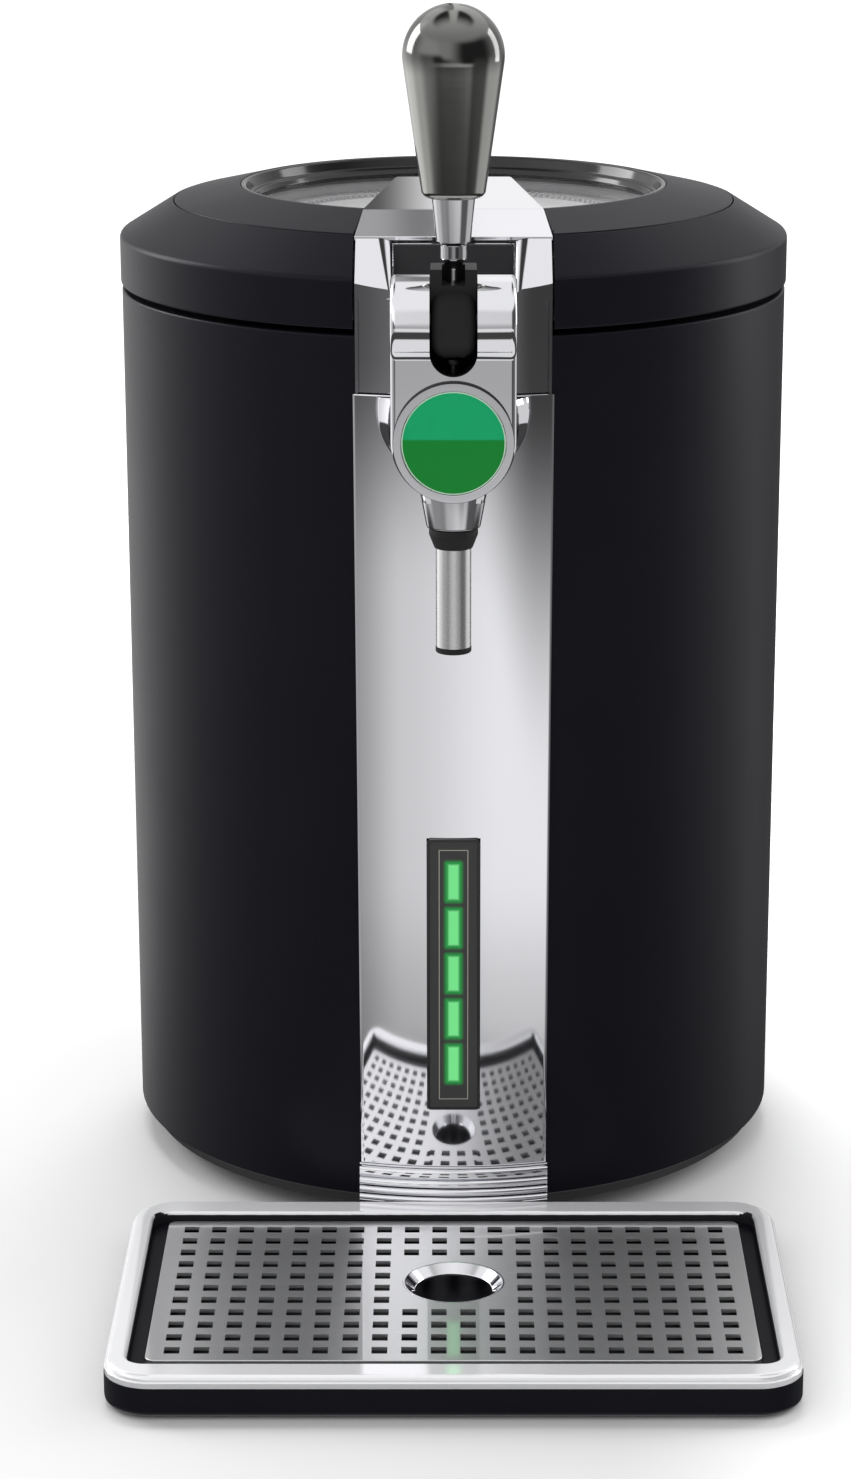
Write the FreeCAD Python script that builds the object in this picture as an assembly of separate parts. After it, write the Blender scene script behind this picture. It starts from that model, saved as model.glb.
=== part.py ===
import FreeCAD, Part
import math
import os

# Mini keg beer dispenser: an upright, insulated cabinet for a five-litre keg, with a hinged lid,
# a lever tap on a chrome front panel and a drip tray that slides out.
# Millimetres, +Z up, the tap faces -Y, and +X is the right hand of someone facing the tap.
# Every piece is modelled about the cabinet's vertical axis. save() then shifts it along Y, so that
# the finished object stands centred on the origin.

V = FreeCAD.Vector

# ---- Driving sizes: cabinet ----
BODY_R = 138.5            # outer radius of the round cabinet
SHELL_WALL = 2.5
SHELL_BOTTOM = 13.85      # lower edge of the cabinet wall
BODY_TOP = 371.0          # upper edge of the cabinet wall
PAN_DRAW_IN = 19.5        # how far the floor pan draws in under the wall
PAN_BOTTOM = 3.0
PAN_WALL = 2.6
PAN_LIP_H = 12.0
FOOT_R = 9.0
FOOT_INSET = 15.0
FOOT_STUD_R = 3.0
SEAT = 0.1                # play left round a piece seated in another
RUN = 0.3                 # play beside a piece that moves

# ---- Driving sizes: keg chamber and cooling ----
KEG_R = 86.0
KEG_HEIGHT = 250.0
KEG_PLAY = 3.0
KEG_HEADROOM = 10.0
LINER_WALL = 1.3
LINER_RIM = 7.5
LINER_RIM_T = 1.4
FOAM_T = 25.0
FOAM_FLOOR_T = 9.0
COLLAR_T = 2.6
COLLAR_LIP_H = 13.0
COLLAR_LIP_T = 2.4
COOL_Z = 200.0            # height of the cooling unit's centre
COLD_PLATE_W = 70.0
COLD_PLATE_T = 8.5
MODULE_W = 40.0
MODULE_T = 4.0
SINK_W = 76.0
SINK_BASE_T = 5.0
FIN_H = 19.0
FIN_T = 1.6
FIN_COUNT = 13
FAN_W = 80.0
FAN_T = 15.0
FAN_BORE_R = 37.5
FAN_HUB_R = 15.0
FAN_BLADES = 7
FAN_SPINDLE_R = 1.5
FAN_STRUT_W = 4.0
FAN_STRUT_T = 2.5
FAN_ROOM = 7.7            # air space between the fan and the rear cover

# ---- Driving sizes: rear cover, mains inlet and switch ----
COVER_HALF = 60.0
COVER_DEPTH = 13.5        # how far the cover stands out from the wall
COVER_BOTTOM = 40.0
COVER_WALL = 2.5
COVER_EDGE_R = 9.0
VENT_H = 4.5
VENT_HALF = 34.0
VENT_PITCH = 9.0
VENT_ROWS = 10
INTAKE_ROWS = 4
INTAKE_Z = 96.0
SOCKET_INSET = 30.0       # from the side of the cover
SOCKET_Z = 64.0
SOCKET_W = 24.0
SOCKET_H = 15.0
SOCKET_DEPTH = 11.0
SOCKET_PIN_SPACING = 8.6
SOCKET_PIN_R = 1.2
SWITCH_W = 21.0
SWITCH_H = 15.0
ROCKER_TILT = 8.0
FLANGE_T = 1.2            # rims of the inlet and the switch outside the cover
SCREW_R = 3.0
SCREW_HEAD_H = 1.6

# ---- Driving sizes: front panel and level display ----
PANEL_T = 2.4
PANEL_HALF_TOP = 39.2
PANEL_HALF_BOTTOM = 38.0
PANEL_DROP = 22.2         # from the top of the wall down to the top of the panel
PANEL_BOTTOM = 29.2
PANEL_FOOT_BOTTOM = 18.6
DISPLAY_HALF = 10.7
DISPLAY_BOTTOM = 54.8
DISPLAY_TOP = 170.2
DISPLAY_PROUD = 1.2
DISPLAY_RIM = 1.0
DISPLAY_DEPTH = 8.0
LENS_T = 2.4
LIGHT_HALF = 2.6
LIGHT_H = 15.6
LIGHT_PITCH = 19.4
LIGHT_COUNT = 5
BOARD_T = 1.6

# ---- Driving sizes: lid ----
LID_OVERHANG = 0.5
LID_WALL = 2.6
LID_GAP = 2.3             # open joint between the cabinet and the lid
LID_WALL_H = 22.0         # from the top of the cabinet wall up to the lid's shoulder
SHOULDER_W = 22.85        # the sloping shoulder, in plan, out from the top ring
SHOULDER_RISE = 13.84
RING_W = 27.65
RING_RISE = 6.26
RING_T = 2.4
FLANGE_W = 8.0
LIP_W = 6.9
WINDOW_SINK = 8.3         # how far the window lies below the ring's inner edge
WINDOW_T = 2.0
LINER_PLUG_PLAY = 3.0
LINER_PLUG_DEPTH = 5.0
SEAL_W = 5.0
DECK_SINK = 5.0           # from the window down to the grey deck
DECK_T = 2.0
RIB_COUNT = 60
RIB_LENGTH = 12.0
RIB_T = 1.6
RIB_H = 3.0
TRIM_FRONT_HALF = 38.5
TRIM_BACK_HALF = 23.2
TRIM_LAP = 6.5            # how far the trim reaches forward over the tap housing
TRIM_BACK_Y = 14.0
TRIM_EDGE = 1.4
TRIM_PROUD = 0.5

# ---- Driving sizes: lid hinge ----
HINGE_BACK = 3.0          # the hinge pin, behind the cabinet wall
HINGE_RISE = 8.6
HINGE_KNUCKLE_R = 6.2
HINGE_PIN_R = 2.5
HINGE_EAR_T = 6.0
HINGE_HALF = 28.0
HINGE_BASE_T = 2.0
PIN_FIT = 0.05

# ---- Driving sizes: tap housing, tap and spout ----
HOUSING_HALF = 38.0
HOUSING_GAP_HALF = 23.6
HOUSING_BEHIND = 11.0     # from the lid's seal to the back of the tap housing
HOUSING_WALL = 5.0
PAD_RISE = 17.2           # from the top of the wall up to the cheeks' slanted pads
SCOOP_R = 15.0
SCOOP_RISE = 15.0
BARREL_OUT = 37.0         # the tap's barrel, in front of the panel
BARREL_RISE = 13.4        # and above the top of the wall
BARREL_R = 17.0
TAP_HALF = 23.6
TAP_EDGE_R = 2.2
BARREL_BLEND_R = 6.0      # hollow between the barrel and the plate under it
PLATE_SET_BACK = 13.0     # from the barrel's axis to the plate's front
PLATE_T = 10.0
BADGE_DROP = 43.6         # from the barrel's axis down to the badge's centre
PEDESTAL_R = 20.0
PEDESTAL_FOOT_R = 29.5
STEM_HALF = 21.8
STEM_RISE = 3.6
SLOT_HALF = 8.9
SLOT_DROP = 19.1
SLOT_BACK = 13.5
SPOUT_SET_BACK = 5.0
NECK_DROP = 34.0          # from the badge's centre down to the end of the neck
NECK_TOP_R = 12.6
NECK_BOTTOM_R = 10.4
PASSAGE_R = 3.6
PASSAGE_DROP = 18.0       # from the top of the wall down to the valve
BADGE_R = 22.7
BADGE_T = 3.0
DISC_R = 19.6
DISC_T = 1.8
COLLAR_R = 9.3
COLLAR_H = 7.8
SPOUT_R = 6.75
SPOUT_BORE_R = 5.2
SPOUT_LENGTH = 46.2
TIP_H = 2.4
LEVER_PIN_R = 2.5
LEVER_PIN_HALF = 20.5

# ---- Driving sizes: lever and valve ----
CAM_R = 13.2
CAM_OFFSET = 4.0
CAM_EDGE_R = 5.6
CAM_HEAD_H = 20.3
CAM_POCKET_HALF = 4.3
CAM_POCKET_DEPTH = 5.9
PLUNGER_FIT = 0.06
PLUNGER_LENGTH = 34.0
LEVER_STEM_R = 5.0
LEVER_STUD_R = 2.8
LEVER_STEP_RISE = 29.6
LEVER_NECK_R = 6.5
LEVER_NECK_TOP_R = 8.1
HANDLE_RISE = 45.8        # from the lever's pin up to the handle
HANDLE_BASE_R = 12.2
HANDLE_BALL_R = 18.85
HANDLE_H = 70.5

# ---- Driving sizes: drip tray ----
TRAY_HALF = 130.0
TRAY_GAP = 5.8            # between the panel and the tray
TRAY_DEPTH = 167.5
TRAY_CORNER_R = 18.0
TRAY_BOTTOM = 1.0
TRAY_BASE_TOP = 12.6
TRAY_WALL = 3.0
TRAY_TUCK = 2.5           # how far the tray's underside draws in
RIM_H = 4.8
RIM_W_SIDE = 8.5
RIM_W_FRONT = 12.6
RIM_W_BACK = 12.9
GRILLE_SIDE = 14.6        # from the tray's side in to the grille
GRILLE_BACK = 13.7
GRILLE_FRONT = 22.3
GRILLE_SINK = 3.7         # from the rim's top down to the grille
GRILLE_T = 1.5
SLOT_COLUMNS = 20
SLOT_ROWS = 11
GRID_EDGE_X = 9.76        # from the grille's edge to the first slot's centre
GRID_EDGE_Y = 8.9
SLOT_W = 5.9
SLOT_D = 5.8
HOLE_BACK = 74.0          # from the tray's back to the drain hole
HOLE_R = 15.1
HOLE_RIM_R = 19.6
TONGUE_HALF = 30.0
TONGUE_REACH = 34.0
TONGUE_T = 4.0

# ---- Sizes that follow from the driving ones ----
CHAMBER_R = KEG_R + KEG_PLAY
LINER_R = CHAMBER_R + LINER_WALL
FOAM_R = LINER_R + FOAM_T
SHELL_IN_R = BODY_R - SHELL_WALL
PAN_FLOOR_R = BODY_R - PAN_DRAW_IN
FOOT_CIRCLE_R = PAN_FLOOR_R - FOOT_INSET
FLOOR_TOP = PAN_BOTTOM + PAN_WALL
LINER_RIM_TOP = BODY_TOP - 1.6
CHAMBER_FLOOR = BODY_TOP - LINER_PLUG_DEPTH - KEG_HEADROOM - KEG_HEIGHT
COLLAR_TOP = LINER_RIM_TOP
FAN_FRONT_Y = LINER_R + COLD_PLATE_T + MODULE_T + SINK_BASE_T + FIN_H
FAN_BACK_Y = FAN_FRONT_Y + FAN_T
SOCKET_X = COVER_HALF - SOCKET_INSET
COVER_BACK = max(BODY_R + COVER_DEPTH, FAN_BACK_Y + FAN_ROOM + COVER_WALL)
PANEL_R = BODY_R + SEAT + PANEL_T
PANEL_TOP = BODY_TOP - PANEL_DROP

LID_R = BODY_R + LID_OVERHANG
LID_BOTTOM = BODY_TOP + LID_GAP
LID_SHOULDER_Z = BODY_TOP + LID_WALL_H
SEAM_R = LID_R - SHOULDER_W
SEAM_Z = LID_SHOULDER_Z + SHOULDER_RISE
RING_INNER_R = SEAM_R - RING_W
RING_INNER_Z = SEAM_Z + RING_RISE
RING_SLOPE = RING_RISE / RING_W
WINDOW_Z = RING_INNER_Z - WINDOW_SINK
LINER_PLUG_R = CHAMBER_R - LINER_PLUG_PLAY
SEAL_R = CHAMBER_R + 1.5
TRIM_TOP_Z = RING_INNER_Z + TRIM_PROUD
TRIM_BOTTOM_Z = WINDOW_Z + SEAT
ABOVE_LID = TRIM_TOP_Z + 10
HINGE_Y = BODY_R + HINGE_BACK
HINGE_Z = BODY_TOP + HINGE_RISE

HOUSING_BACK_Y = -SEAL_R - SEAL_W - HOUSING_BEHIND
HOUSING_TOP_Z = TRIM_BOTTOM_Z - 1.4
TRIM_FRONT_Y = HOUSING_BACK_Y - TRIM_LAP
PAD_BOTTOM_Z = BODY_TOP + PAD_RISE
SCOOP_TOP_Z = BODY_TOP + SCOOP_RISE
BARREL_Y = -PANEL_R - BARREL_OUT
BARREL_Z = BODY_TOP + BARREL_RISE
PLATE_FRONT_Y = BARREL_Y - PLATE_SET_BACK
PLATE_BACK_Y = PLATE_FRONT_Y + PLATE_T
BADGE_Z = BARREL_Z - BADGE_DROP
STEM_TOP_Z = BARREL_Z + STEM_RISE
SLOT_BOTTOM_Z = BARREL_Z - SLOT_DROP
SLOT_BACK_Y = BARREL_Y + SLOT_BACK
SPOUT_Y = BARREL_Y - SPOUT_SET_BACK
NECK_BOTTOM_Z = BADGE_Z - NECK_DROP
PASSAGE_Z = BODY_TOP - PASSAGE_DROP
SPOUT_BOTTOM_Z = NECK_BOTTOM_Z - SPOUT_LENGTH
CAM_TOP_Z = BARREL_Z + CAM_HEAD_H
LEVER_STEP_Z = BARREL_Z + LEVER_STEP_RISE
HANDLE_BOTTOM_Z = BARREL_Z + HANDLE_RISE
HANDLE_TOP_Z = HANDLE_BOTTOM_Z + HANDLE_H
IN_FRONT = BARREL_Y - BARREL_R - 10

TRAY_BACK_Y = -PANEL_R - TRAY_GAP
TRAY_FRONT_Y = TRAY_BACK_Y - TRAY_DEPTH
RIM_OPEN_HALF = TRAY_HALF - RIM_W_SIDE
RIM_OPEN_FRONT_Y = TRAY_FRONT_Y + RIM_W_FRONT
RIM_OPEN_BACK_Y = TRAY_BACK_Y - RIM_W_BACK
RIM_TOP_Z = TRAY_BASE_TOP + RIM_H
GRILLE_HALF = TRAY_HALF - GRILLE_SIDE
GRILLE_BACK_Y = TRAY_BACK_Y - GRILLE_BACK
GRILLE_FRONT_Y = TRAY_FRONT_Y + GRILLE_FRONT
GRILLE_TOP_Z = RIM_TOP_Z - GRILLE_SINK
LEDGE_Z = GRILLE_TOP_Z - GRILLE_T - RUN
HOLE_Y = TRAY_BACK_Y - HOLE_BACK
BODY_SHIFT_Y = -(TRAY_FRONT_Y + COVER_BACK + SCREW_HEAD_H) / 2

parts = {}


# ---- Tools shared by all the pieces ----
def box(x0, x1, y0, y1, z0, z1):
    return Part.makeBox(x1 - x0, y1 - y0, z1 - z0, V(x0, y0, z0))


def rod_x(x0, x1, y, z, r):
    return Part.makeCylinder(r, x1 - x0, V(x0, y, z), V(1, 0, 0))


def rod_y(y0, y1, x, z, r):
    return Part.makeCylinder(r, y1 - y0, V(x, y0, z), V(0, 1, 0))


def rod_z(z0, z1, x, y, r):
    return Part.makeCylinder(r, z1 - z0, V(x, y, z0), V(0, 0, 1))


def face(points, place):
    """A closed face. A step is a point to draw a line to, or a pair: a point that an arc passes
    and the point where the arc ends."""
    here = place(*points[0])
    edges = []
    for step in points[1:] + [points[0]]:
        if isinstance(step[0], tuple):
            via, end = place(*step[0]), place(*step[1])
            edges.append(Part.Arc(here, via, end).toShape())
        else:
            end = place(*step)
            if end.isEqual(here, 1e-6):
                continue
            edges.append(Part.LineSegment(here, end).toShape())
        here = end
    return Part.Face(Part.Wire(edges))


def turned(points, x=0.0, y=0.0):
    """A solid turned about a vertical axis from points (radius, z)."""
    solid = face(points, lambda r, z: V(r, 0, z)).revolve(V(0, 0, 0), V(0, 0, 1), 360)
    solid.translate(V(x, y, 0))
    return solid


def turned_y(points, x, z):
    """A solid turned about an axis along Y from points (radius, y)."""
    solid = face(points, lambda r, y: V(r, y, 0)).revolve(V(0, 0, 0), V(0, 1, 0), 360)
    solid.translate(V(x, 0, z))
    return solid


def extruded_x(points, x0, x1):
    return face(points, lambda y, z: V(x0, y, z)).extrude(V(x1 - x0, 0, 0))


def extruded_y(points, y0, y1):
    return face(points, lambda x, z: V(x, y0, z)).extrude(V(0, y1 - y0, 0))


def extruded_z(points, z0, z1):
    return face(points, lambda x, y: V(x, y, z0)).extrude(V(0, 0, z1 - z0))


def joined(*shapes):
    solid = shapes[0]
    for shape in shapes[1:]:
        solid = solid.fuse(shape)
    return solid.removeSplitter()


def lines_along(solid, axis):
    """The straight edges of a solid that run along an axis."""
    found = []
    for edge in solid.Edges:
        if isinstance(edge.Curve, Part.Line):
            way = edge.Vertexes[-1].Point - edge.Vertexes[0].Point
            if way.cross(axis).Length < 1e-6:
                found.append(edge)
    return found


def rounded_box(x0, x1, y0, y1, z0, z1, r, axis=V(0, 0, 1)):
    """A box whose edges along one axis are rounded."""
    solid = box(x0, x1, y0, y1, z0, z1)
    return solid.makeFillet(r, lines_along(solid, axis))


def save(name, *solids):
    shape = solids[0] if len(solids) == 1 else Part.Compound(list(solids))
    shape = shape.copy()
    shape.translate(V(0, BODY_SHIFT_Y, 0))
    parts[name] = shape


# ---- Cabinet: base pan, feet, wall and top collar ----
def front_gap(z0, z1, y1):
    """The way through the cabinet's front for the back of the tap."""
    half = STEM_HALF + RUN
    return box(-half, half, IN_FRONT, y1, z0, z1)


def foot_places():
    for turn in (45, 135, 225, 315):
        yield (FOOT_CIRCLE_R * math.cos(math.radians(turn)),
               FOOT_CIRCLE_R * math.sin(math.radians(turn)))


def base_pan():
    lip_r = SHELL_IN_R - SEAT
    pan = turned([(0, PAN_BOTTOM), (PAN_FLOOR_R, PAN_BOTTOM), (BODY_R - 5, PAN_BOTTOM + 5),
                  (BODY_R - 1, SHELL_BOTTOM), (lip_r, SHELL_BOTTOM),
                  (lip_r, SHELL_BOTTOM + PAN_LIP_H),
                  (lip_r - PAN_WALL, SHELL_BOTTOM + PAN_LIP_H), (lip_r - PAN_WALL, SHELL_BOTTOM - 1),
                  (PAN_FLOOR_R - 4, FLOOR_TOP), (0, FLOOR_TOP)])
    # Posts under the foam cup that surrounds the keg chamber.
    post_top = CHAMBER_FLOOR - LINER_WALL - FOAM_FLOOR_T
    for x, y in foot_places():
        share = (LINER_R - 8) / FOOT_CIRCLE_R
        pan = pan.fuse(rod_z(FLOOR_TOP - 0.5, post_top, x * share, y * share, 5.0))
        pan = pan.cut(rod_z(0, FLOOR_TOP + 1, x, y, FOOT_STUD_R + SEAT))
    for x, y in board_posts():
        pan = pan.fuse(rod_z(FLOOR_TOP - 0.5, BOARD_Z, x, y, 3.0))
    # Pocket under the front edge for the drip tray's tongue.
    pocket_half = TONGUE_HALF + RUN
    pocket_top = TRAY_BOTTOM + 1.2 + TONGUE_T + RUN
    pocket_back = TRAY_BACK_Y + TONGUE_REACH + RUN
    walls = box(-pocket_half - 2.4, pocket_half + 2.4, IN_FRONT, pocket_back + 2.4, PAN_BOTTOM,
                pocket_top + 2.4)
    pan = pan.fuse(walls.common(rod_z(0, pocket_top + 5, 0, 0, PAN_FLOOR_R)))
    pan = pan.cut(box(-pocket_half, pocket_half, IN_FRONT, pocket_back, 0, pocket_top))
    save("base_pan", pan.removeSplitter())


def rubber_feet():
    feet = []
    for x, y in foot_places():
        foot = rod_z(0, PAN_BOTTOM, x, y, FOOT_R)
        feet.append(foot.fuse(rod_z(0, PAN_BOTTOM + PAN_WALL, x, y, FOOT_STUD_R)).removeSplitter())
    save("rubber_feet", *feet)


def cabinet_shell():
    top_r = BODY_R - 0.8
    shell = turned([(SHELL_IN_R, SHELL_BOTTOM), (BODY_R, SHELL_BOTTOM), (BODY_R, BODY_TOP - 0.8),
                    (top_r, BODY_TOP), (SHELL_IN_R, BODY_TOP)])
    shell = shell.cut(front_gap(PANEL_TOP + 2.4, BODY_TOP + 1, 0))
    play = DISPLAY_HALF + SEAT
    shell = shell.cut(box(-play, play, IN_FRONT, 0, DISPLAY_BOTTOM - SEAT, DISPLAY_TOP + SEAT))
    vent = COVER_HALF - 8
    shell = shell.cut(box(-vent, vent, 0, BODY_R + 5, COVER_BOTTOM + 6, BODY_TOP - 40))
    save("cabinet_shell", shell)


def top_collar():
    lip_r = SHELL_IN_R - SEAT
    inner = LINER_R + SEAT
    web = COLLAR_TOP - LINER_RIM_T
    rim_r = CHAMBER_R + LINER_RIM + SEAT
    lip_in_r = lip_r - COLLAR_LIP_T
    collar = turned([(inner, COLLAR_TOP - COLLAR_T), (inner, web), (rim_r, web),
                     (rim_r, COLLAR_TOP), (lip_in_r, COLLAR_TOP), (lip_in_r, BODY_TOP),
                     (lip_r, BODY_TOP), (lip_r, BODY_TOP - COLLAR_LIP_H),
                     (lip_in_r, BODY_TOP - COLLAR_LIP_H), (lip_in_r, COLLAR_TOP - COLLAR_T)])
    collar = collar.cut(front_gap(PANEL_TOP, BODY_TOP + 1, -FOAM_R - 1))
    save("top_collar", collar)


# ---- Keg chamber and its insulation ----
def keg_chamber():
    corner = 4.0
    floor = CHAMBER_FLOOR
    outer = corner + 0.6 * LINER_WALL
    rim_under = LINER_RIM_TOP - LINER_RIM_T
    chamber = turned([(0, floor), (CHAMBER_R - corner, floor), (CHAMBER_R, floor + corner),
                      (CHAMBER_R, LINER_RIM_TOP), (CHAMBER_R + LINER_RIM, LINER_RIM_TOP),
                      (CHAMBER_R + LINER_RIM, rim_under), (LINER_R, rim_under),
                      (LINER_R, floor - LINER_WALL + outer), (LINER_R - outer, floor - LINER_WALL),
                      (0, floor - LINER_WALL)])
    save("keg_chamber", chamber)


def insulation_jacket():
    inner = LINER_R + SEAT
    bottom = CHAMBER_FLOOR - LINER_WALL
    top = COLLAR_TOP - COLLAR_T - 0.4
    foam = turned([(0, bottom - FOAM_FLOOR_T), (FOAM_R, bottom - FOAM_FLOOR_T), (FOAM_R, top),
                   (inner, top), (inner, bottom), (0, bottom)])
    half = COLD_PLATE_W / 2 + 1
    foam = foam.cut(box(-half, half, LINER_R - 20, FOAM_R + 1, COOL_Z - half, COOL_Z + half))
    sink_half = SINK_W / 2 + 4
    foam = foam.cut(box(-sink_half, sink_half, LINER_R + COLD_PLATE_T + MODULE_T - 1, FOAM_R + 1,
                        COOL_Z - sink_half, COOL_Z + sink_half))
    save("insulation_jacket", foam)


# ---- Cooling unit: cold plate, thermoelectric module, heat sink and fan ----
def cold_plate():
    half = COLD_PLATE_W / 2
    back = LINER_R + COLD_PLATE_T
    plate = box(-half, half, LINER_R - 20, back, COOL_Z - half, COOL_Z + half)
    save("cold_plate", plate.cut(rod_z(0, BODY_TOP, 0, 0, LINER_R + SEAT / 2)))


def cooling_module():
    half = MODULE_W / 2
    front = LINER_R + COLD_PLATE_T
    save("cooling_module", box(-half, half, front, front + MODULE_T, COOL_Z - half, COOL_Z + half))


def heat_sink():
    half = SINK_W / 2
    front = LINER_R + COLD_PLATE_T + MODULE_T
    sink = box(-half, half, front, front + SINK_BASE_T, COOL_Z - half, COOL_Z + half)
    pitch = (SINK_W - FIN_T) / (FIN_COUNT - 1)
    fins = []
    for i in range(FIN_COUNT):
        x = -half + i * pitch
        fins.append(box(x, x + FIN_T, front + SINK_BASE_T - 0.5, front + SINK_BASE_T + FIN_H,
                        COOL_Z - half, COOL_Z + half))
    save("heat_sink", sink.fuse(fins).removeSplitter())


def fan_frame():
    half = FAN_W / 2
    back = FAN_BACK_Y
    frame = rounded_box(-half, half, FAN_FRONT_Y, back, COOL_Z - half, COOL_Z + half, 4.0, V(0, 1, 0))
    frame = frame.cut(rod_y(FAN_FRONT_Y - 1, back + 1, 0, COOL_Z, FAN_BORE_R))
    inset = half - 5.0
    for x in (-inset, inset):
        for z in (COOL_Z - inset, COOL_Z + inset):
            frame = frame.cut(rod_y(FAN_FRONT_Y - 1, back + 1, x, z, 2.0))
    # Motor seat on four struts at the outlet side, with the spindle that carries the rotor.
    frame = frame.fuse(rod_y(back - FAN_STRUT_T, back, 0, COOL_Z, FAN_HUB_R))
    for turn in (0, 90, 180, 270):
        strut = box(FAN_HUB_R - 1, FAN_BORE_R + 1, back - FAN_STRUT_T, back,
                    COOL_Z - FAN_STRUT_W / 2, COOL_Z + FAN_STRUT_W / 2)
        strut.rotate(V(0, 0, COOL_Z), V(0, 1, 0), turn + 30)
        frame = frame.fuse(strut)
    frame = frame.fuse(rod_y(FAN_FRONT_Y + 4, back - 1, 0, COOL_Z, FAN_SPINDLE_R))
    save("fan_frame", frame.removeSplitter())


def fan_rotor():
    front = FAN_FRONT_Y + 1.5
    back = FAN_BACK_Y - FAN_STRUT_T - RUN
    hub = rod_y(front, back, 0, COOL_Z, FAN_HUB_R)
    hub = hub.cut(rod_y(front + 1.5, back + 1, 0, COOL_Z, FAN_SPINDLE_R + PIN_FIT))
    blade_tip = FAN_BORE_R - 1.0
    for i in range(FAN_BLADES):
        blade = box(FAN_HUB_R - 1.5, blade_tip - 0.6, -0.7, 0.7, -9.0, 9.0)
        blade.rotate(V(0, 0, 0), V(1, 0, 0), -62)
        blade.translate(V(0, (front + back) / 2, 0))
        blade.rotate(V(0, 0, 0), V(0, 1, 0), i * 360.0 / FAN_BLADES)
        blade.translate(V(0, 0, COOL_Z))
        hub = hub.fuse(blade)
    hub = hub.common(rod_y(front, back, 0, COOL_Z, blade_tip))
    hub = hub.cut(rod_y(front + 1.5, back + 1, 0, COOL_Z, FAN_SPINDLE_R + PIN_FIT))
    save("fan_rotor", hub.removeSplitter())


# ---- Rear cover, mains inlet and switch ----
def rear_cover():
    wall = COVER_WALL
    outer = rounded_box(-COVER_HALF, COVER_HALF, 0, COVER_BACK, COVER_BOTTOM, BODY_TOP, COVER_EDGE_R)
    inner = rounded_box(-COVER_HALF + wall, COVER_HALF - wall, -COVER_EDGE_R, COVER_BACK - wall,
                        COVER_BOTTOM + wall, BODY_TOP - wall, COVER_EDGE_R - wall)
    cover = outer.cut(inner).cut(rod_z(0, BODY_TOP + 1, 0, 0, BODY_R + SEAT))
    first = COOL_Z - VENT_PITCH * (VENT_ROWS - 1) / 2
    rows = [first + i * VENT_PITCH for i in range(VENT_ROWS)]
    rows += [INTAKE_Z + i * VENT_PITCH for i in range(INTAKE_ROWS)]
    slots = []
    for z in rows:
        slots.append(box(-VENT_HALF, VENT_HALF, COVER_BACK - wall - 1, COVER_BACK + 1,
                         z - VENT_H / 2, z + VENT_H / 2))
    cover = cover.cut(slots)
    for x, w, h in ((SOCKET_X, SOCKET_W, SOCKET_H), (-SOCKET_X, SWITCH_W, SWITCH_H)):
        cover = cover.cut(box(x - w / 2 - SEAT, x + w / 2 + SEAT, COVER_BACK - wall - 1, COVER_BACK + 1,
                              SOCKET_Z - h / 2 - SEAT, SOCKET_Z + h / 2 + SEAT))
    save("rear_cover", cover)


def cover_screws():
    screws = []
    inset = COVER_HALF - 7
    for x in (-inset, inset):
        for z in (COVER_BOTTOM + 22, BODY_TOP - 22):
            top = COVER_BACK + SCREW_HEAD_H
            screws.append(turned_y([(0, COVER_BACK), (SCREW_R, COVER_BACK), (SCREW_R, top - 0.8),
                                    (SCREW_R - 1.2, top), (0, top)], x, z))
    save("cover_screws", *screws)


def flanged_insert(x, w, h, depth):
    """A body that fills a hole in the rear cover, with a thin flange outside."""
    back = COVER_BACK
    body = box(x - w / 2, x + w / 2, back - depth, back, SOCKET_Z - h / 2, SOCKET_Z + h / 2)
    flange = rounded_box(x - w / 2 - 2, x + w / 2 + 2, back, back + FLANGE_T,
                         SOCKET_Z - h / 2 - 2, SOCKET_Z + h / 2 + 2, 2.0, V(0, 1, 0))
    return body.fuse(flange)


def power_inlet():
    depth = SOCKET_DEPTH + 5
    inlet = flanged_insert(SOCKET_X, SOCKET_W, SOCKET_H, depth)
    w = SOCKET_W - 5
    h = SOCKET_H - 6
    back = COVER_BACK + FLANGE_T
    recess = rounded_box(SOCKET_X - w / 2, SOCKET_X + w / 2, back - SOCKET_DEPTH, back + 1,
                         SOCKET_Z - h / 2, SOCKET_Z + h / 2, h / 2 - 0.2, V(0, 1, 0))
    inlet = inlet.cut(recess)
    for x in (SOCKET_X - SOCKET_PIN_SPACING / 2, SOCKET_X + SOCKET_PIN_SPACING / 2):
        inlet = inlet.fuse(rod_y(back - SOCKET_DEPTH - 1, back - 2, x, SOCKET_Z, SOCKET_PIN_R))
    save("power_inlet", inlet.removeSplitter())


ROCKER_Y = COVER_BACK - 3.0


def switch_frame():
    frame = flanged_insert(-SOCKET_X, SWITCH_W, SWITCH_H, 16)
    w = SWITCH_W / 2 - 2
    h = SWITCH_H / 2 - 2
    frame = frame.cut(box(-SOCKET_X - w, -SOCKET_X + w, COVER_BACK - 13, COVER_BACK + 3,
                          SOCKET_Z - h, SOCKET_Z + h))
    pivot = rod_x(-SOCKET_X - w - 0.5, -SOCKET_X + w + 0.5, ROCKER_Y - 4, SOCKET_Z, 1.0)
    save("switch_frame", frame.fuse(pivot).removeSplitter())


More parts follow.
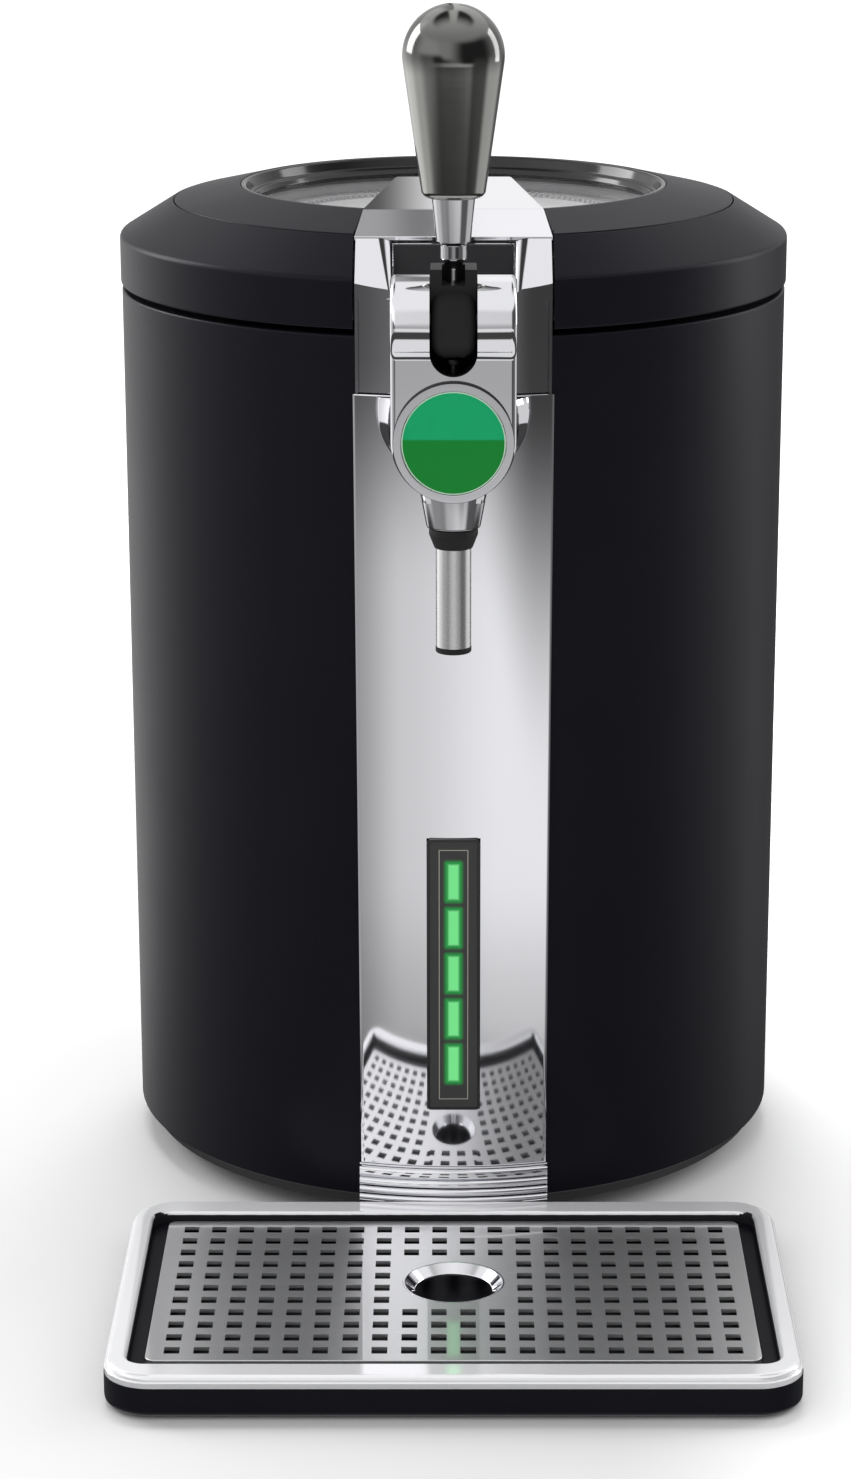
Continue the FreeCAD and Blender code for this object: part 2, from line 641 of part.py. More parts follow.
def power_rocker():
    """The rocker is off at rest: its lower half stands out."""
    w = SWITCH_W / 2 - 2 - RUN
    h = SWITCH_H / 2 - 2 - 0.9
    y, z = ROCKER_Y - 4, SOCKET_Z
    rocker = extruded_x([(y - 2.5, z - 2.6), (y - 2.5, z + 2.6), (y + 2, z + h),
                         (y + 6.4, z + h), ((y + 5.4, z), (y + 6.4, z - h)), (y + 2, z - h)],
                        -SOCKET_X - w, -SOCKET_X + w)
    rocker = rocker.cut(rod_x(-SOCKET_X - w - 1, -SOCKET_X + w + 1, y, z, 1.0 + PIN_FIT))
    rocker.rotate(V(0, y, z), V(1, 0, 0), ROCKER_TILT)
    save("power_rocker", rocker)


# ---- Electronics inside the base ----
BOARD_Z = 32.0
BOARD_HALF_X = 48.0
BOARD_Y0 = -62.0
BOARD_Y1 = 8.0
POST_INSET = 5.0
RELAY_X = 26.0
RELAY_Y = -23.0
RELAY_HALF = 8.0
RELAY_H = 15.0
CHIP_X = -5.0
CHIP_Y = -27.0
CHIP_HALF = 7.0
CHIP_H = 2.0
HEADER_X = -4.0
HEADER_HALF = 16.0
HEADER_D = 6.0
HEADER_H = 9.0
CAP_X = -34.0
CAP_Y = -38.0
CAP_PITCH = 14.0
CAP_COUNT = 3
CAP_R = 5.0
CAP_H = 14.0
SUPPLY_HALF_X = 38.0
SUPPLY_Y0 = 30.0
SUPPLY_Y1 = 92.0
SUPPLY_H = 36.0
SUPPLY_SLOTS = 7
SUPPLY_SLOT_W = 3.0
SUPPLY_SLOT_PITCH = 8.0
SUPPLY_SLOT_EDGE = 14.0


def board_posts():
    for x in (-BOARD_HALF_X + POST_INSET, BOARD_HALF_X - POST_INSET):
        for y in (BOARD_Y0 + POST_INSET, BOARD_Y1 - POST_INSET):
            yield x, y


def control_board():
    top = BOARD_Z + BOARD_T
    foot = top - 0.2
    board = rounded_box(-BOARD_HALF_X, BOARD_HALF_X, BOARD_Y0, BOARD_Y1, BOARD_Z, top, 3.0)
    relay = box(RELAY_X - RELAY_HALF, RELAY_X + RELAY_HALF, RELAY_Y - RELAY_HALF,
                RELAY_Y + RELAY_HALF, foot, top + RELAY_H)
    chip = box(CHIP_X - CHIP_HALF, CHIP_X + CHIP_HALF, CHIP_Y - CHIP_HALF, CHIP_Y + CHIP_HALF, foot,
               top + CHIP_H)
    header = box(HEADER_X - HEADER_HALF, HEADER_X + HEADER_HALF, BOARD_Y0 + HEADER_D / 2,
                 BOARD_Y0 + HEADER_D * 3 / 2, foot, top + HEADER_H)
    caps = []
    for i in range(CAP_COUNT):
        caps.append(rod_z(foot, top + CAP_H, CAP_X, CAP_Y + i * CAP_PITCH, CAP_R))
    save("control_board", board.fuse([relay, chip, header] + caps).removeSplitter())


def power_supply():
    top = FLOOR_TOP + SUPPLY_H
    can = rounded_box(-SUPPLY_HALF_X, SUPPLY_HALF_X, SUPPLY_Y0, SUPPLY_Y1, FLOOR_TOP, top, 3.0)
    slots = []
    for i in range(SUPPLY_SLOTS):
        x = (i - (SUPPLY_SLOTS - 1) / 2) * SUPPLY_SLOT_PITCH
        slots.append(box(x - SUPPLY_SLOT_W / 2, x + SUPPLY_SLOT_W / 2, SUPPLY_Y0 + SUPPLY_SLOT_EDGE,
                         SUPPLY_Y1 - SUPPLY_SLOT_EDGE, top - 1.5, top + 1))
    save("power_supply", can.cut(slots))


# ---- Front panel, its moulded foot and the level display ----
def panel_outline(foot_of, top_of):
    """The panel's outline from the front: straight sides that draw in a little downwards."""
    lean = (PANEL_HALF_TOP - PANEL_HALF_BOTTOM) / (PANEL_TOP - PANEL_BOTTOM)
    half_foot = PANEL_HALF_BOTTOM + lean * (foot_of - PANEL_BOTTOM)
    half_top = PANEL_HALF_BOTTOM + lean * (top_of - PANEL_BOTTOM)
    return extruded_y([(-half_foot, foot_of), (half_foot, foot_of), (half_top, top_of),
                       (-half_top, top_of)], IN_FRONT, 0)


def front_panel():
    inner = BODY_R + SEAT
    panel = turned([(inner, PANEL_BOTTOM), (PANEL_R, PANEL_BOTTOM), (PANEL_R, PANEL_TOP),
                    (inner, PANEL_TOP)]).common(panel_outline(PANEL_BOTTOM, PANEL_TOP))
    play = DISPLAY_HALF + SEAT
    panel = panel.cut(box(-play, play, IN_FRONT, 0, DISPLAY_BOTTOM - SEAT, DISPLAY_TOP + SEAT))
    save("front_panel", panel)


def panel_foot():
    """Two rounded chrome mouldings that step the panel out to the drip tray."""
    inner = BODY_R + SEAT
    top = PANEL_BOTTOM - SEAT
    mid = (top + PANEL_FOOT_BOTTOM) / 2 - 0.4
    foot = turned([(inner, PANEL_FOOT_BOTTOM), (PANEL_R + 2.6, PANEL_FOOT_BOTTOM),
                   ((PANEL_R + 4.2, PANEL_FOOT_BOTTOM + 2.2), (PANEL_R + 2.0, mid)),
                   ((PANEL_R + 3.0, mid + 2.6), (PANEL_R - 0.3, top - 0.6)),
                   (PANEL_R - 0.3, top), (inner, top)])
    half = PANEL_HALF_BOTTOM + 0.5
    save("panel_foot", foot.common(box(-half, half, IN_FRONT, 0, 0, top)))


DISPLAY_FRONT_Y = -PANEL_R - DISPLAY_PROUD
LENS_FRONT_Y = DISPLAY_FRONT_Y + 0.3


def light_heights():
    middle = (DISPLAY_BOTTOM + DISPLAY_TOP) / 2 + 1.0
    for i in range(LIGHT_COUNT):
        yield middle + (i - (LIGHT_COUNT - 1) / 2) * LIGHT_PITCH


def display_bezel():
    half = DISPLAY_HALF
    back = DISPLAY_FRONT_Y + DISPLAY_DEPTH
    bezel = rounded_box(-half, half, DISPLAY_FRONT_Y, back, DISPLAY_BOTTOM, DISPLAY_TOP, 1.6, V(0, 1, 0))
    hole = half - DISPLAY_RIM
    bezel = bezel.cut(box(-hole, hole, DISPLAY_FRONT_Y - 1, back + 1, DISPLAY_BOTTOM + DISPLAY_RIM,
                          DISPLAY_TOP - DISPLAY_RIM))
    save("display_bezel", bezel)


def display_lens():
    half = DISPLAY_HALF - DISPLAY_RIM - SEAT / 2
    lens = box(-half, half, LENS_FRONT_Y, LENS_FRONT_Y + LENS_T,
               DISPLAY_BOTTOM + DISPLAY_RIM + SEAT / 2, DISPLAY_TOP - DISPLAY_RIM - SEAT / 2)
    holes = []
    for z in light_heights():
        holes.append(box(-LIGHT_HALF, LIGHT_HALF, LENS_FRONT_Y - 1, LENS_FRONT_Y + LENS_T + 1,
                         z - LIGHT_H / 2, z + LIGHT_H / 2))
    save("display_lens", lens.cut(holes))


def level_lights():
    lights = []
    for z in light_heights():
        lights.append(box(-LIGHT_HALF, LIGHT_HALF, LENS_FRONT_Y, LENS_FRONT_Y + LENS_T,
                          z - LIGHT_H / 2, z + LIGHT_H / 2))
    save("level_lights", *lights)


def display_board():
    half = DISPLAY_HALF - DISPLAY_RIM - 0.2
    front = LENS_FRONT_Y + LENS_T
    save("display_board", box(-half, half, front, front + BOARD_T, DISPLAY_BOTTOM + 2, DISPLAY_TOP - 2))


# ---- Lid: shoulder, ring, window, liner and trim ----
def housing_notch(z0, z1):
    """The gap in the lid's front that stands round the tap housing."""
    half = HOUSING_HALF + 2 * RUN
    return box(-half, half, IN_FRONT, HOUSING_BACK_Y + 2 * RUN, z0, z1)


def ring_underside(r):
    return SEAM_Z - RING_T + RING_SLOPE * (SEAM_R - r)


def trim_outline(play, z0, z1):
    """The plan of the lid trim: a strip that narrows to a rounded back end."""
    front, back = TRIM_FRONT_Y - play, TRIM_BACK_Y + play
    f, b = TRIM_FRONT_HALF + play, TRIM_BACK_HALF + play
    bend = 7.0
    cut = bend * (1 - math.sqrt(0.5))
    return extruded_z([(-f, front), (f, front), (b + 0.4, back - bend),
                       ((b - cut, back - cut), (b - bend, back)), (-b + bend, back),
                       ((-b + cut, back - cut), (-b - 0.4, back - bend))], z0, z1)


def lid_shell():
    inner_r = LID_R - LID_WALL
    slope = (SEAM_Z - LID_SHOULDER_Z) / (LID_R - SEAM_R)
    seam_under = ring_underside(SEAM_R) - SEAT
    flange_r = SEAM_R - FLANGE_W
    shell = turned([(inner_r, LID_BOTTOM), (LID_R, LID_BOTTOM), (LID_R, LID_SHOULDER_Z - 2.5),
                    (LID_R - 0.6, LID_SHOULDER_Z - 0.6), (LID_R - 2.3, LID_SHOULDER_Z + 2.3 * slope),
                    (SEAM_R + SEAT, SEAM_Z), (SEAM_R + SEAT, seam_under),
                    (flange_r, ring_underside(flange_r) - SEAT),
                    (flange_r, ring_underside(flange_r) - SEAT - 2), (SEAM_R, seam_under - 2),
                    (inner_r, LID_SHOULDER_Z - 2.2)])
    shell = shell.cut(housing_notch(0, ABOVE_LID))
    shell = shell.cut(trim_outline(RUN, TRIM_BOTTOM_Z - SEAT, TRIM_TOP_Z))
    ears = HINGE_HALF + RUN
    shell = shell.cut(box(-ears, ears, 0, LID_R + 9, LID_BOTTOM - 1, HINGE_Z + HINGE_KNUCKLE_R + 1.5))
    save("lid_shell", shell)


def lid_ring():
    ring = turned([(SEAM_R, SEAM_Z), (RING_INNER_R, RING_INNER_Z),
                   (RING_INNER_R, ring_underside(RING_INNER_R)), (SEAM_R, ring_underside(SEAM_R))])
    ring = ring.cut(trim_outline(2 * RUN, LID_BOTTOM, ABOVE_LID))
    save("lid_ring", ring.cut(housing_notch(LID_BOTTOM, ABOVE_LID)))


def lid_lip():
    """The polished bead that leads down from the ring to the window."""
    r = RING_INNER_R - SEAT
    inner = r - LIP_W
    top = RING_INNER_Z
    lip = turned([(r, WINDOW_Z), (r, top - 0.6), (r - 0.8, top - 0.1), (r - 1.8, top - 0.6),
                  (r - 3.2, top - 3.0), (r - 4.1, top - 5.0), (r - 5.0, top - 5.2),
                  (r - 6.3, top - 5.9), (inner, top - 7.2), (inner, WINDOW_Z)])
    save("lid_lip", lip.cut(trim_outline(RUN, LID_BOTTOM, ABOVE_LID)))


def lid_window():
    r = RING_INNER_R - SEAT
    save("lid_window", rod_z(WINDOW_Z - WINDOW_T, WINDOW_Z, 0, 0, r))


def ribbed_disc():
    """The grey deck under the window, with fine radial ribs round its edge."""
    r = RING_INNER_R - SEAT
    top = WINDOW_Z - WINDOW_T
    deck = top - DECK_SINK
    wall = r - DECK_T
    disc = turned([(0, deck - DECK_T), (r, deck - DECK_T), (r, top), (wall, top), (wall, deck), (0, deck)])
    ribs = []
    for i in range(RIB_COUNT):
        rib = box(wall - 0.5 - RIB_LENGTH, wall + 0.5, -RIB_T / 2, RIB_T / 2, deck - 1, deck + RIB_H)
        rib.rotate(V(0, 0, 0), V(0, 0, 1), (i + 0.5) * 360.0 / RIB_COUNT)
        ribs.append(rib)
    save("ribbed_disc", disc.fuse(ribs).removeSplitter())


def lid_liner():
    """The moulded underside: a shallow cup that plugs the keg chamber, and a flange to the wall."""
    bottom = BODY_TOP - LINER_PLUG_DEPTH
    deck = WINDOW_Z - WINDOW_T - DECK_SINK - DECK_T
    flange = LID_BOTTOM + 3.0
    outer = LID_R - LID_WALL - SEAT
    cup_r = LINER_PLUG_R
    wall_r = SEAM_R - FLANGE_W - 1
    liner = turned([(0, bottom), (cup_r - 2, bottom), (cup_r, bottom + 2), (cup_r, flange),
                    (outer, flange), (outer, flange + 2), (wall_r, flange + 2), (wall_r, deck),
                    (wall_r - 2, deck), (wall_r - 2, flange + 2), (cup_r - 2, flange + 2),
                    (cup_r - 2, bottom + 2), (0, bottom + 2)])
    liner = liner.cut(housing_notch(0, ABOVE_LID))
    # A web closes the liner behind the tap housing.
    y = HOUSING_BACK_Y + 2 * RUN
    half = HOUSING_HALF + 2 * RUN
    web = box(-half - 4, half + 4, y, y + 2, flange, deck).common(rod_z(0, ABOVE_LID, 0, 0, outer))
    ears = HINGE_HALF + RUN
    liner = liner.fuse(web)
    liner = liner.cut(box(-ears, ears, LID_R - 12.2, LID_R + 9, bottom, ABOVE_LID))
    save("lid_liner", liner.removeSplitter())


def lid_foam():
    bottom = BODY_TOP - LINER_PLUG_DEPTH + 2
    flange = LID_BOTTOM + 5.0
    deck = WINDOW_Z - WINDOW_T - DECK_SINK - DECK_T
    wall_r = SEAM_R - FLANGE_W - 3 - SEAT
    cup_r = LINER_PLUG_R - 2 - SEAT
    foam = turned([(0, bottom), (cup_r, bottom), (cup_r, flange), (wall_r, flange), (wall_r, deck),
                   (0, deck)])
    save("lid_foam", foam.cut(box(-LID_R, LID_R, IN_FRONT, HOUSING_BACK_Y + 2 * RUN + 2, 0, ABOVE_LID)))


def lid_seal():
    r = SEAL_R
    bottom = LINER_RIM_TOP + RUN
    top = LID_BOTTOM + 3.0
    mid = r + SEAL_W / 2
    seal = turned([(r, top), (r, bottom + 1.5), (mid, bottom), (r + SEAL_W, bottom + 1.5),
                   (r + SEAL_W, top)])
    save("lid_seal", seal)


def lid_trim():
    top = TRIM_TOP_Z
    bottom = TRIM_BOTTOM_Z
    knee = -RING_INNER_R + 1
    trim = extruded_x([(TRIM_FRONT_Y, bottom), (TRIM_FRONT_Y, bottom + TRIM_EDGE), (knee - 3, top - 0.6),
                       ((knee - 0.5, top - 0.1), (knee + 3, top)), (TRIM_BACK_Y - 4, top),
                       ((TRIM_BACK_Y - 1.2, top - 1.2), (TRIM_BACK_Y, top - 4)),
                       (TRIM_BACK_Y, bottom)], -TRIM_FRONT_HALF, TRIM_FRONT_HALF)
    save("lid_trim", trim.common(trim_outline(0, LID_BOTTOM, ABOVE_LID)))


# ---- Lid hinge ----
def hinge_ear_profile():
    r = HINGE_KNUCKLE_R
    y, z = HINGE_Y, HINGE_Z
    return [(y - r, z), ((y, z + r), (y + r, z)), (y + r, BODY_TOP), (y - r, BODY_TOP)]


def hinge_bracket():
    half = HINGE_HALF
    bracket = rounded_box(-half, half, BODY_R - 5, COVER_BACK - 3, BODY_TOP,
                          BODY_TOP + HINGE_BASE_T, 2.0)
    for x0 in (-half, half - HINGE_EAR_T):
        bracket = bracket.fuse(extruded_x(hinge_ear_profile(), x0, x0 + HINGE_EAR_T))
    bracket = bracket.cut(rod_x(-half - 1, half + 1, HINGE_Y, HINGE_Z, HINGE_PIN_R + PIN_FIT))
    save("hinge_bracket", bracket.removeSplitter())


def hinge_pin():
    save("hinge_pin", rod_x(-HINGE_HALF, HINGE_HALF, HINGE_Y, HINGE_Z, HINGE_PIN_R))


def lid_hinge_arm():
    """The lid's knuckle between the two ears, on a plate screwed to the lid liner."""
    half = HINGE_HALF - HINGE_EAR_T - RUN
    flange = LID_BOTTOM + 5.0
    r = HINGE_KNUCKLE_R
    knuckle = rod_x(-half, half, HINGE_Y, HINGE_Z, r)
    arm = extruded_x([(HINGE_Y, HINGE_Z - r), (HINGE_Y, HINGE_Z + r), (LID_R - LID_WALL - 1, HINGE_Z + r),
                      (LID_R - 16, flange + 3), (LID_R - 26, flange + 3), (LID_R - 26, flange),
                      (LID_R - 12, flange), (LID_R - 9, flange - 1.5), (LID_R - 7, HINGE_Z - r)],
                     -half, half)
    arm = arm.fuse(knuckle)
    # Windows between three ribs keep the arm light.
    rib = 2 * half / 5
    for x in (-rib, rib):
        arm = arm.cut(box(x - rib / 2 + 1, x + rib / 2 - 1, LID_R - 24, LID_R - 12, flange + 1.2,
                          ABOVE_LID))
    arm = arm.cut(rod_x(-half - 1, half + 1, HINGE_Y, HINGE_Z, HINGE_PIN_R + PIN_FIT))
    save("lid_hinge_arm", arm.removeSplitter())


# ---- Tap housing ----
def tap_housing():
    """Two chrome cheeks, joined behind, that stand on each side of the tap's stem."""
    front = -PANEL_R - 3
    inner = BODY_R + SEAT
    pad_top = TRIM_BOTTOM_Z + TRIM_EDGE - 0.6
    pad_y = TRIM_FRONT_Y - 2 * RUN
    side = extruded_x([(front, PANEL_TOP + SEAT), (front, PAD_BOTTOM_Z - 1.8), (pad_y, pad_top),
                       (pad_y, HOUSING_TOP_Z), (HOUSING_BACK_Y, HOUSING_TOP_Z),
                       (HOUSING_BACK_Y, PANEL_TOP + SEAT)], -HOUSING_HALF, HOUSING_HALF)
    housing = side.common(rod_z(0, ABOVE_LID, 0, 0, PANEL_R))
    housing = housing.cut(rod_z(0, BODY_TOP, 0, 0, inner))
    gap = HOUSING_GAP_HALF
    housing = housing.cut(box(-gap, gap, IN_FRONT, HOUSING_BACK_Y - HOUSING_WALL, 0, ABOVE_LID))
    for sx in (-1, 1):
        scoop = rod_z(0, SCOOP_TOP_Z, sx * gap, -PANEL_R - 2, SCOOP_R)
        housing = housing.cut(scoop.cut(box(-gap, gap, IN_FRONT, 0, 0, ABOVE_LID)))
    save("tap_housing", housing.removeSplitter())


def housing_backing():
    half = HOUSING_GAP_HALF - SEAT
    y1 = HOUSING_BACK_Y - HOUSING_WALL
    save("housing_backing", box(-half, half, y1 - 2, y1, BODY_TOP, HOUSING_TOP_Z - 0.5))


# ---- Tap body with its badge ----
def slot_cutter():
    z = SLOT_BOTTOM_Z + SLOT_HALF
    return extruded_y([(-SLOT_HALF, ABOVE_LID), (-SLOT_HALF, z), ((0, SLOT_BOTTOM_Z), (SLOT_HALF, z)),
                       (SLOT_HALF, ABOVE_LID)], IN_FRONT, SLOT_BACK_Y)


def tap_front():
    """The barrel, and the badge plate that runs down from it out of a shallow hollow."""
    barrel = rod_x(-TAP_HALF, TAP_HALF, BARREL_Y, BARREL_Z, BARREL_R)
    rims = [e for e in barrel.Edges if isinstance(e.Curve, Part.Circle)]
    barrel = barrel.makeFillet(TAP_EDGE_R, rims)
    reach = PLATE_SET_BACK + BARREL_BLEND_R
    drop = math.sqrt((BARREL_R + BARREL_BLEND_R) ** 2 - reach ** 2)
    share = BARREL_R / (BARREL_R + BARREL_BLEND_R)
    on_barrel = (BARREL_Y - reach * share, BARREL_Z - drop * share)
    middle = math.atan2(drop, reach) / 2
    in_hollow = (BARREL_Y - reach + BARREL_BLEND_R * math.cos(middle),
                 BARREL_Z - drop + BARREL_BLEND_R * math.sin(middle))
    foot = BADGE_Z - TAP_HALF
    plate = extruded_x([(PLATE_FRONT_Y, foot), (PLATE_FRONT_Y, BARREL_Z - drop), (in_hollow, on_barrel),
                        (BARREL_Y, BARREL_Z), (PLATE_BACK_Y, BARREL_Z - drop), (PLATE_BACK_Y, foot)],
                       -TAP_HALF, TAP_HALF)
    outline = extruded_y([(-TAP_HALF, BARREL_Z), (-TAP_HALF, BADGE_Z), ((0, foot), (TAP_HALF, BADGE_Z)),
                          (TAP_HALF, BARREL_Z)], IN_FRONT, 0)
    plate = plate.common(outline).removeSplitter()
    in_front = [e for e in plate.Edges if e.BoundBox.YMax < PLATE_FRONT_Y + 0.01]
    rims = [e for e in in_front if e.BoundBox.XLength < 2 * TAP_HALF - 1]
    plate = plate.makeFillet(TAP_EDGE_R, rims)
    return barrel.fuse(plate)


def pedestal():
    """The flare from the badge plate back to the front panel."""
    foot_y = -BODY_R + 2
    flare = turned_y([(0, PLATE_BACK_Y - 0.5), (PEDESTAL_R, PLATE_BACK_Y - 0.5),
                      (PEDESTAL_R, PLATE_BACK_Y + 12),
                      ((PEDESTAL_R + 2.6, PLATE_BACK_Y + 30), (PEDESTAL_FOOT_R, -PANEL_R + 1)),
                      (PEDESTAL_FOOT_R + 1, foot_y), (0, foot_y)], 0, BADGE_Z + 3)
    flare = flare.cut(rod_z(0, ABOVE_LID, 0, 0, PANEL_R + SEAT))
    half = PEDESTAL_FOOT_R * 2
    return flare.common(box(-half, half, IN_FRONT, 0, 0, PANEL_TOP - 0.4))


def tap_body():
    inside = PLATE_BACK_Y - 1
    half = STEM_HALF
    stem = box(-half, half, inside, HOUSING_BACK_Y - HOUSING_WALL - 2, BODY_TOP + RUN, STEM_TOP_Z)
    neck_in = box(-half, half, inside, -FOAM_R - 1.5, PANEL_TOP + 3, BODY_TOP + 1)
    bridge = box(-half, half, inside, -PANEL_R - 0.5, PANEL_TOP - 6, PANEL_TOP + 4)
    shoulder = BADGE_Z - TAP_HALF + 2
    neck = turned([(0, NECK_BOTTOM_Z), (NECK_BOTTOM_R - 0.8, NECK_BOTTOM_Z),
                   (NECK_BOTTOM_R, NECK_BOTTOM_Z + 0.8), (NECK_TOP_R, shoulder),
                   (NECK_TOP_R, shoulder + 10), (0, shoulder + 10)], 0, SPOUT_Y)
    neck = neck.common(box(-TAP_HALF, TAP_HALF, PLATE_FRONT_Y + 1.2, 0, 0, BODY_TOP))
    body = joined(tap_front(), stem, neck_in, bridge, pedestal(), neck)
    body = body.cut(slot_cutter())
    body = body.cut(rod_x(-LEVER_PIN_HALF - SEAT, LEVER_PIN_HALF + SEAT, BARREL_Y, BARREL_Z,
                          LEVER_PIN_R + PIN_FIT))
    body = body.cut(rod_z(NECK_BOTTOM_Z - 1, BARREL_Z, 0, SPOUT_Y, PASSAGE_R))
    body = body.cut(rod_y(SPOUT_Y, -FOAM_R + 5, 0, PASSAGE_Z + 7, PASSAGE_R - 0.4))
    save("tap_body", body.removeSplitter())


def badge_bezel():
    back = PLATE_FRONT_Y
    front = back - BADGE_T
    bezel = turned_y([(0, back), (BADGE_R, back), (BADGE_R, front + 1.0), (BADGE_R - 1.0, front),
                      (DISC_R + SEAT, front), (DISC_R + SEAT, front + DISC_T), (0, front + DISC_T)],
                     0, BADGE_Z)
    save("badge_bezel", bezel)


def badge_disc():
    front = PLATE_FRONT_Y - BADGE_T
    disc = turned_y([(0, front + DISC_T), (DISC_R, front + DISC_T), (DISC_R, front + 0.5),
                     (0, front + 0.2)], 0, BADGE_Z)
    save("badge_disc", disc)


# ---- Spout ----
def spout_collar():
    top = NECK_BOTTOM_Z
    bottom = top - COLLAR_H
    collar = turned([(SPOUT_R, bottom), (SPOUT_R + 0.4, bottom), (COLLAR_R, top - 2.4),
                     (COLLAR_R - 0.2, top - 1.0), (COLLAR_R - 1.2, top), (PASSAGE_R, top),
                     (PASSAGE_R, top - 1.5), (SPOUT_R, top - 1.5)], 0, SPOUT_Y)
    save("spout_collar", collar)


def spout_tube():
    top = NECK_BOTTOM_Z - 1.5
    tube = turned([(SPOUT_BORE_R, SPOUT_BOTTOM_Z), (SPOUT_R, SPOUT_BOTTOM_Z), (SPOUT_R, top),
                   (SPOUT_BORE_R, top)], 0, SPOUT_Y)
    save("spout_tube", tube)


def spout_tip():
    bottom = SPOUT_BOTTOM_Z - TIP_H
    tip = turned([(SPOUT_BORE_R, bottom), (SPOUT_R, bottom), (SPOUT_R + 0.1, SPOUT_BOTTOM_Z),
                  (SPOUT_BORE_R, SPOUT_BOTTOM_Z)], 0, SPOUT_Y)
    save("spout_tip", tip)


# ---- Lever, cam and valve plunger ----
def lever_pin():
    save("lever_pin", rod_x(-LEVER_PIN_HALF, LEVER_PIN_HALF, BARREL_Y, BARREL_Z, LEVER_PIN_R))


def lever_cam():
    """An eccentric nose under a head with an open pocket for the stem: it presses the plunger down
    as the lever tips."""
    half = SLOT_HALF - RUN
    y = BARREL_Y - CAM_OFFSET
    flat = half - CAM_EDGE_R
    side_r = CAM_R - CAM_EDGE_R
    over = CAM_EDGE_R * math.sqrt(0.5)
    nose = face([(-half, 0), (-half, side_r), ((-flat - over, side_r + over), (-flat, CAM_R)),
                 (flat, CAM_R), ((flat + over, side_r + over), (half, side_r)), (half, 0)],
                lambda x, r: V(x, y, BARREL_Z + r))
    nose = nose.revolve(V(0, y, BARREL_Z), V(1, 0, 0), 360)
    head = box(-half, half, BARREL_Y - 9, BARREL_Y + 8, BARREL_Z, CAM_TOP_Z)
    cam = nose.fuse(head)
    cam = cam.cut(box(-CAM_POCKET_HALF, CAM_POCKET_HALF, IN_FRONT, BARREL_Y + CAM_POCKET_HALF,
                      CAM_TOP_Z - CAM_POCKET_DEPTH, ABOVE_LID))
    cam = cam.cut(rod_x(-half - 1, half + 1, BARREL_Y, BARREL_Z, LEVER_PIN_R + PIN_FIT))
    cam = cam.cut(rod_z(BARREL_Z + 8, CAM_TOP_Z, 0, BARREL_Y, LEVER_STUD_R + SEAT / 2))
    save("lever_cam", cam.removeSplitter())


def lever_stem():
    """A slim stud that stands in the cam, flares to the stem, and widens in a step to the neck."""
    r = LEVER_STEM_R
    stud = LEVER_STUD_R
    stem = turned([(0, BARREL_Z + 8), (stud, BARREL_Z + 8), (stud, CAM_TOP_Z - 1.2),
                   ((stud + 0.6, CAM_TOP_Z + 0.9), (r, CAM_TOP_Z + 2.3)), (r, LEVER_STEP_Z - 1.0),
                   (LEVER_NECK_R, LEVER_STEP_Z),
                   (LEVER_NECK_TOP_R, HANDLE_BOTTOM_Z), (r, HANDLE_BOTTOM_Z),
                   (r, HANDLE_BOTTOM_Z + 30), (0, HANDLE_BOTTOM_Z + 30)], 0, BARREL_Y)
    save("lever_stem", stem)


def lever_handle():
    """A pear-shaped handle: a taper that runs smoothly into a ball."""
    ball_z = HANDLE_TOP_Z - HANDLE_BALL_R
    base_z = HANDLE_BOTTOM_Z + 5.0
    drop = ball_z - base_z
    reach = math.hypot(HANDLE_BASE_R, drop)
    angle = math.atan2(-drop, HANDLE_BASE_R) + math.acos(HANDLE_BALL_R / reach)
    touch = (HANDLE_BALL_R * math.cos(angle), ball_z + HANDLE_BALL_R * math.sin(angle))
    over = math.pi / 4 + angle / 2
    via = (HANDLE_BALL_R * math.cos(over), ball_z + HANDLE_BALL_R * math.sin(over))
    bore = LEVER_STEM_R + SEAT / 2
    handle = turned([(bore, HANDLE_BOTTOM_Z), (HANDLE_BASE_R - 3.0, HANDLE_BOTTOM_Z),
                     (HANDLE_BASE_R - 0.9, HANDLE_BOTTOM_Z + 1.8), (HANDLE_BASE_R, base_z), touch,
                     (via, (0, HANDLE_TOP_Z)), (0, HANDLE_BOTTOM_Z + 30.2),
                     (bore, HANDLE_BOTTOM_Z + 30.2)], 0, BARREL_Y)
    save("lever_handle", handle)


def valve_plunger():
    """A plunger with a waist, which opens the passage from the keg when it is pressed down."""
    top = BARREL_Z - CAM_R - RUN
    r = PASSAGE_R - PLUNGER_FIT
    bottom = top - PLUNGER_LENGTH
    waist = PASSAGE_Z + 13
    plunger = turned([(0, bottom), (r, bottom), (r, waist - 3.0), (r - 1.6, waist - 3.0),
                      (r - 1.6, waist + 3.0), (r, waist + 3.0), (r, top), (0, top)], 0, SPOUT_Y)
    save("valve_plunger", plunger)


# ---- Drip tray and grille ----
def tray_outline(inset, z0, z1):
    r = TRAY_CORNER_R - inset
    return rounded_box(-TRAY_HALF + inset, TRAY_HALF - inset, TRAY_FRONT_Y + inset,
                       TRAY_BACK_Y - inset, z0, z1, r)


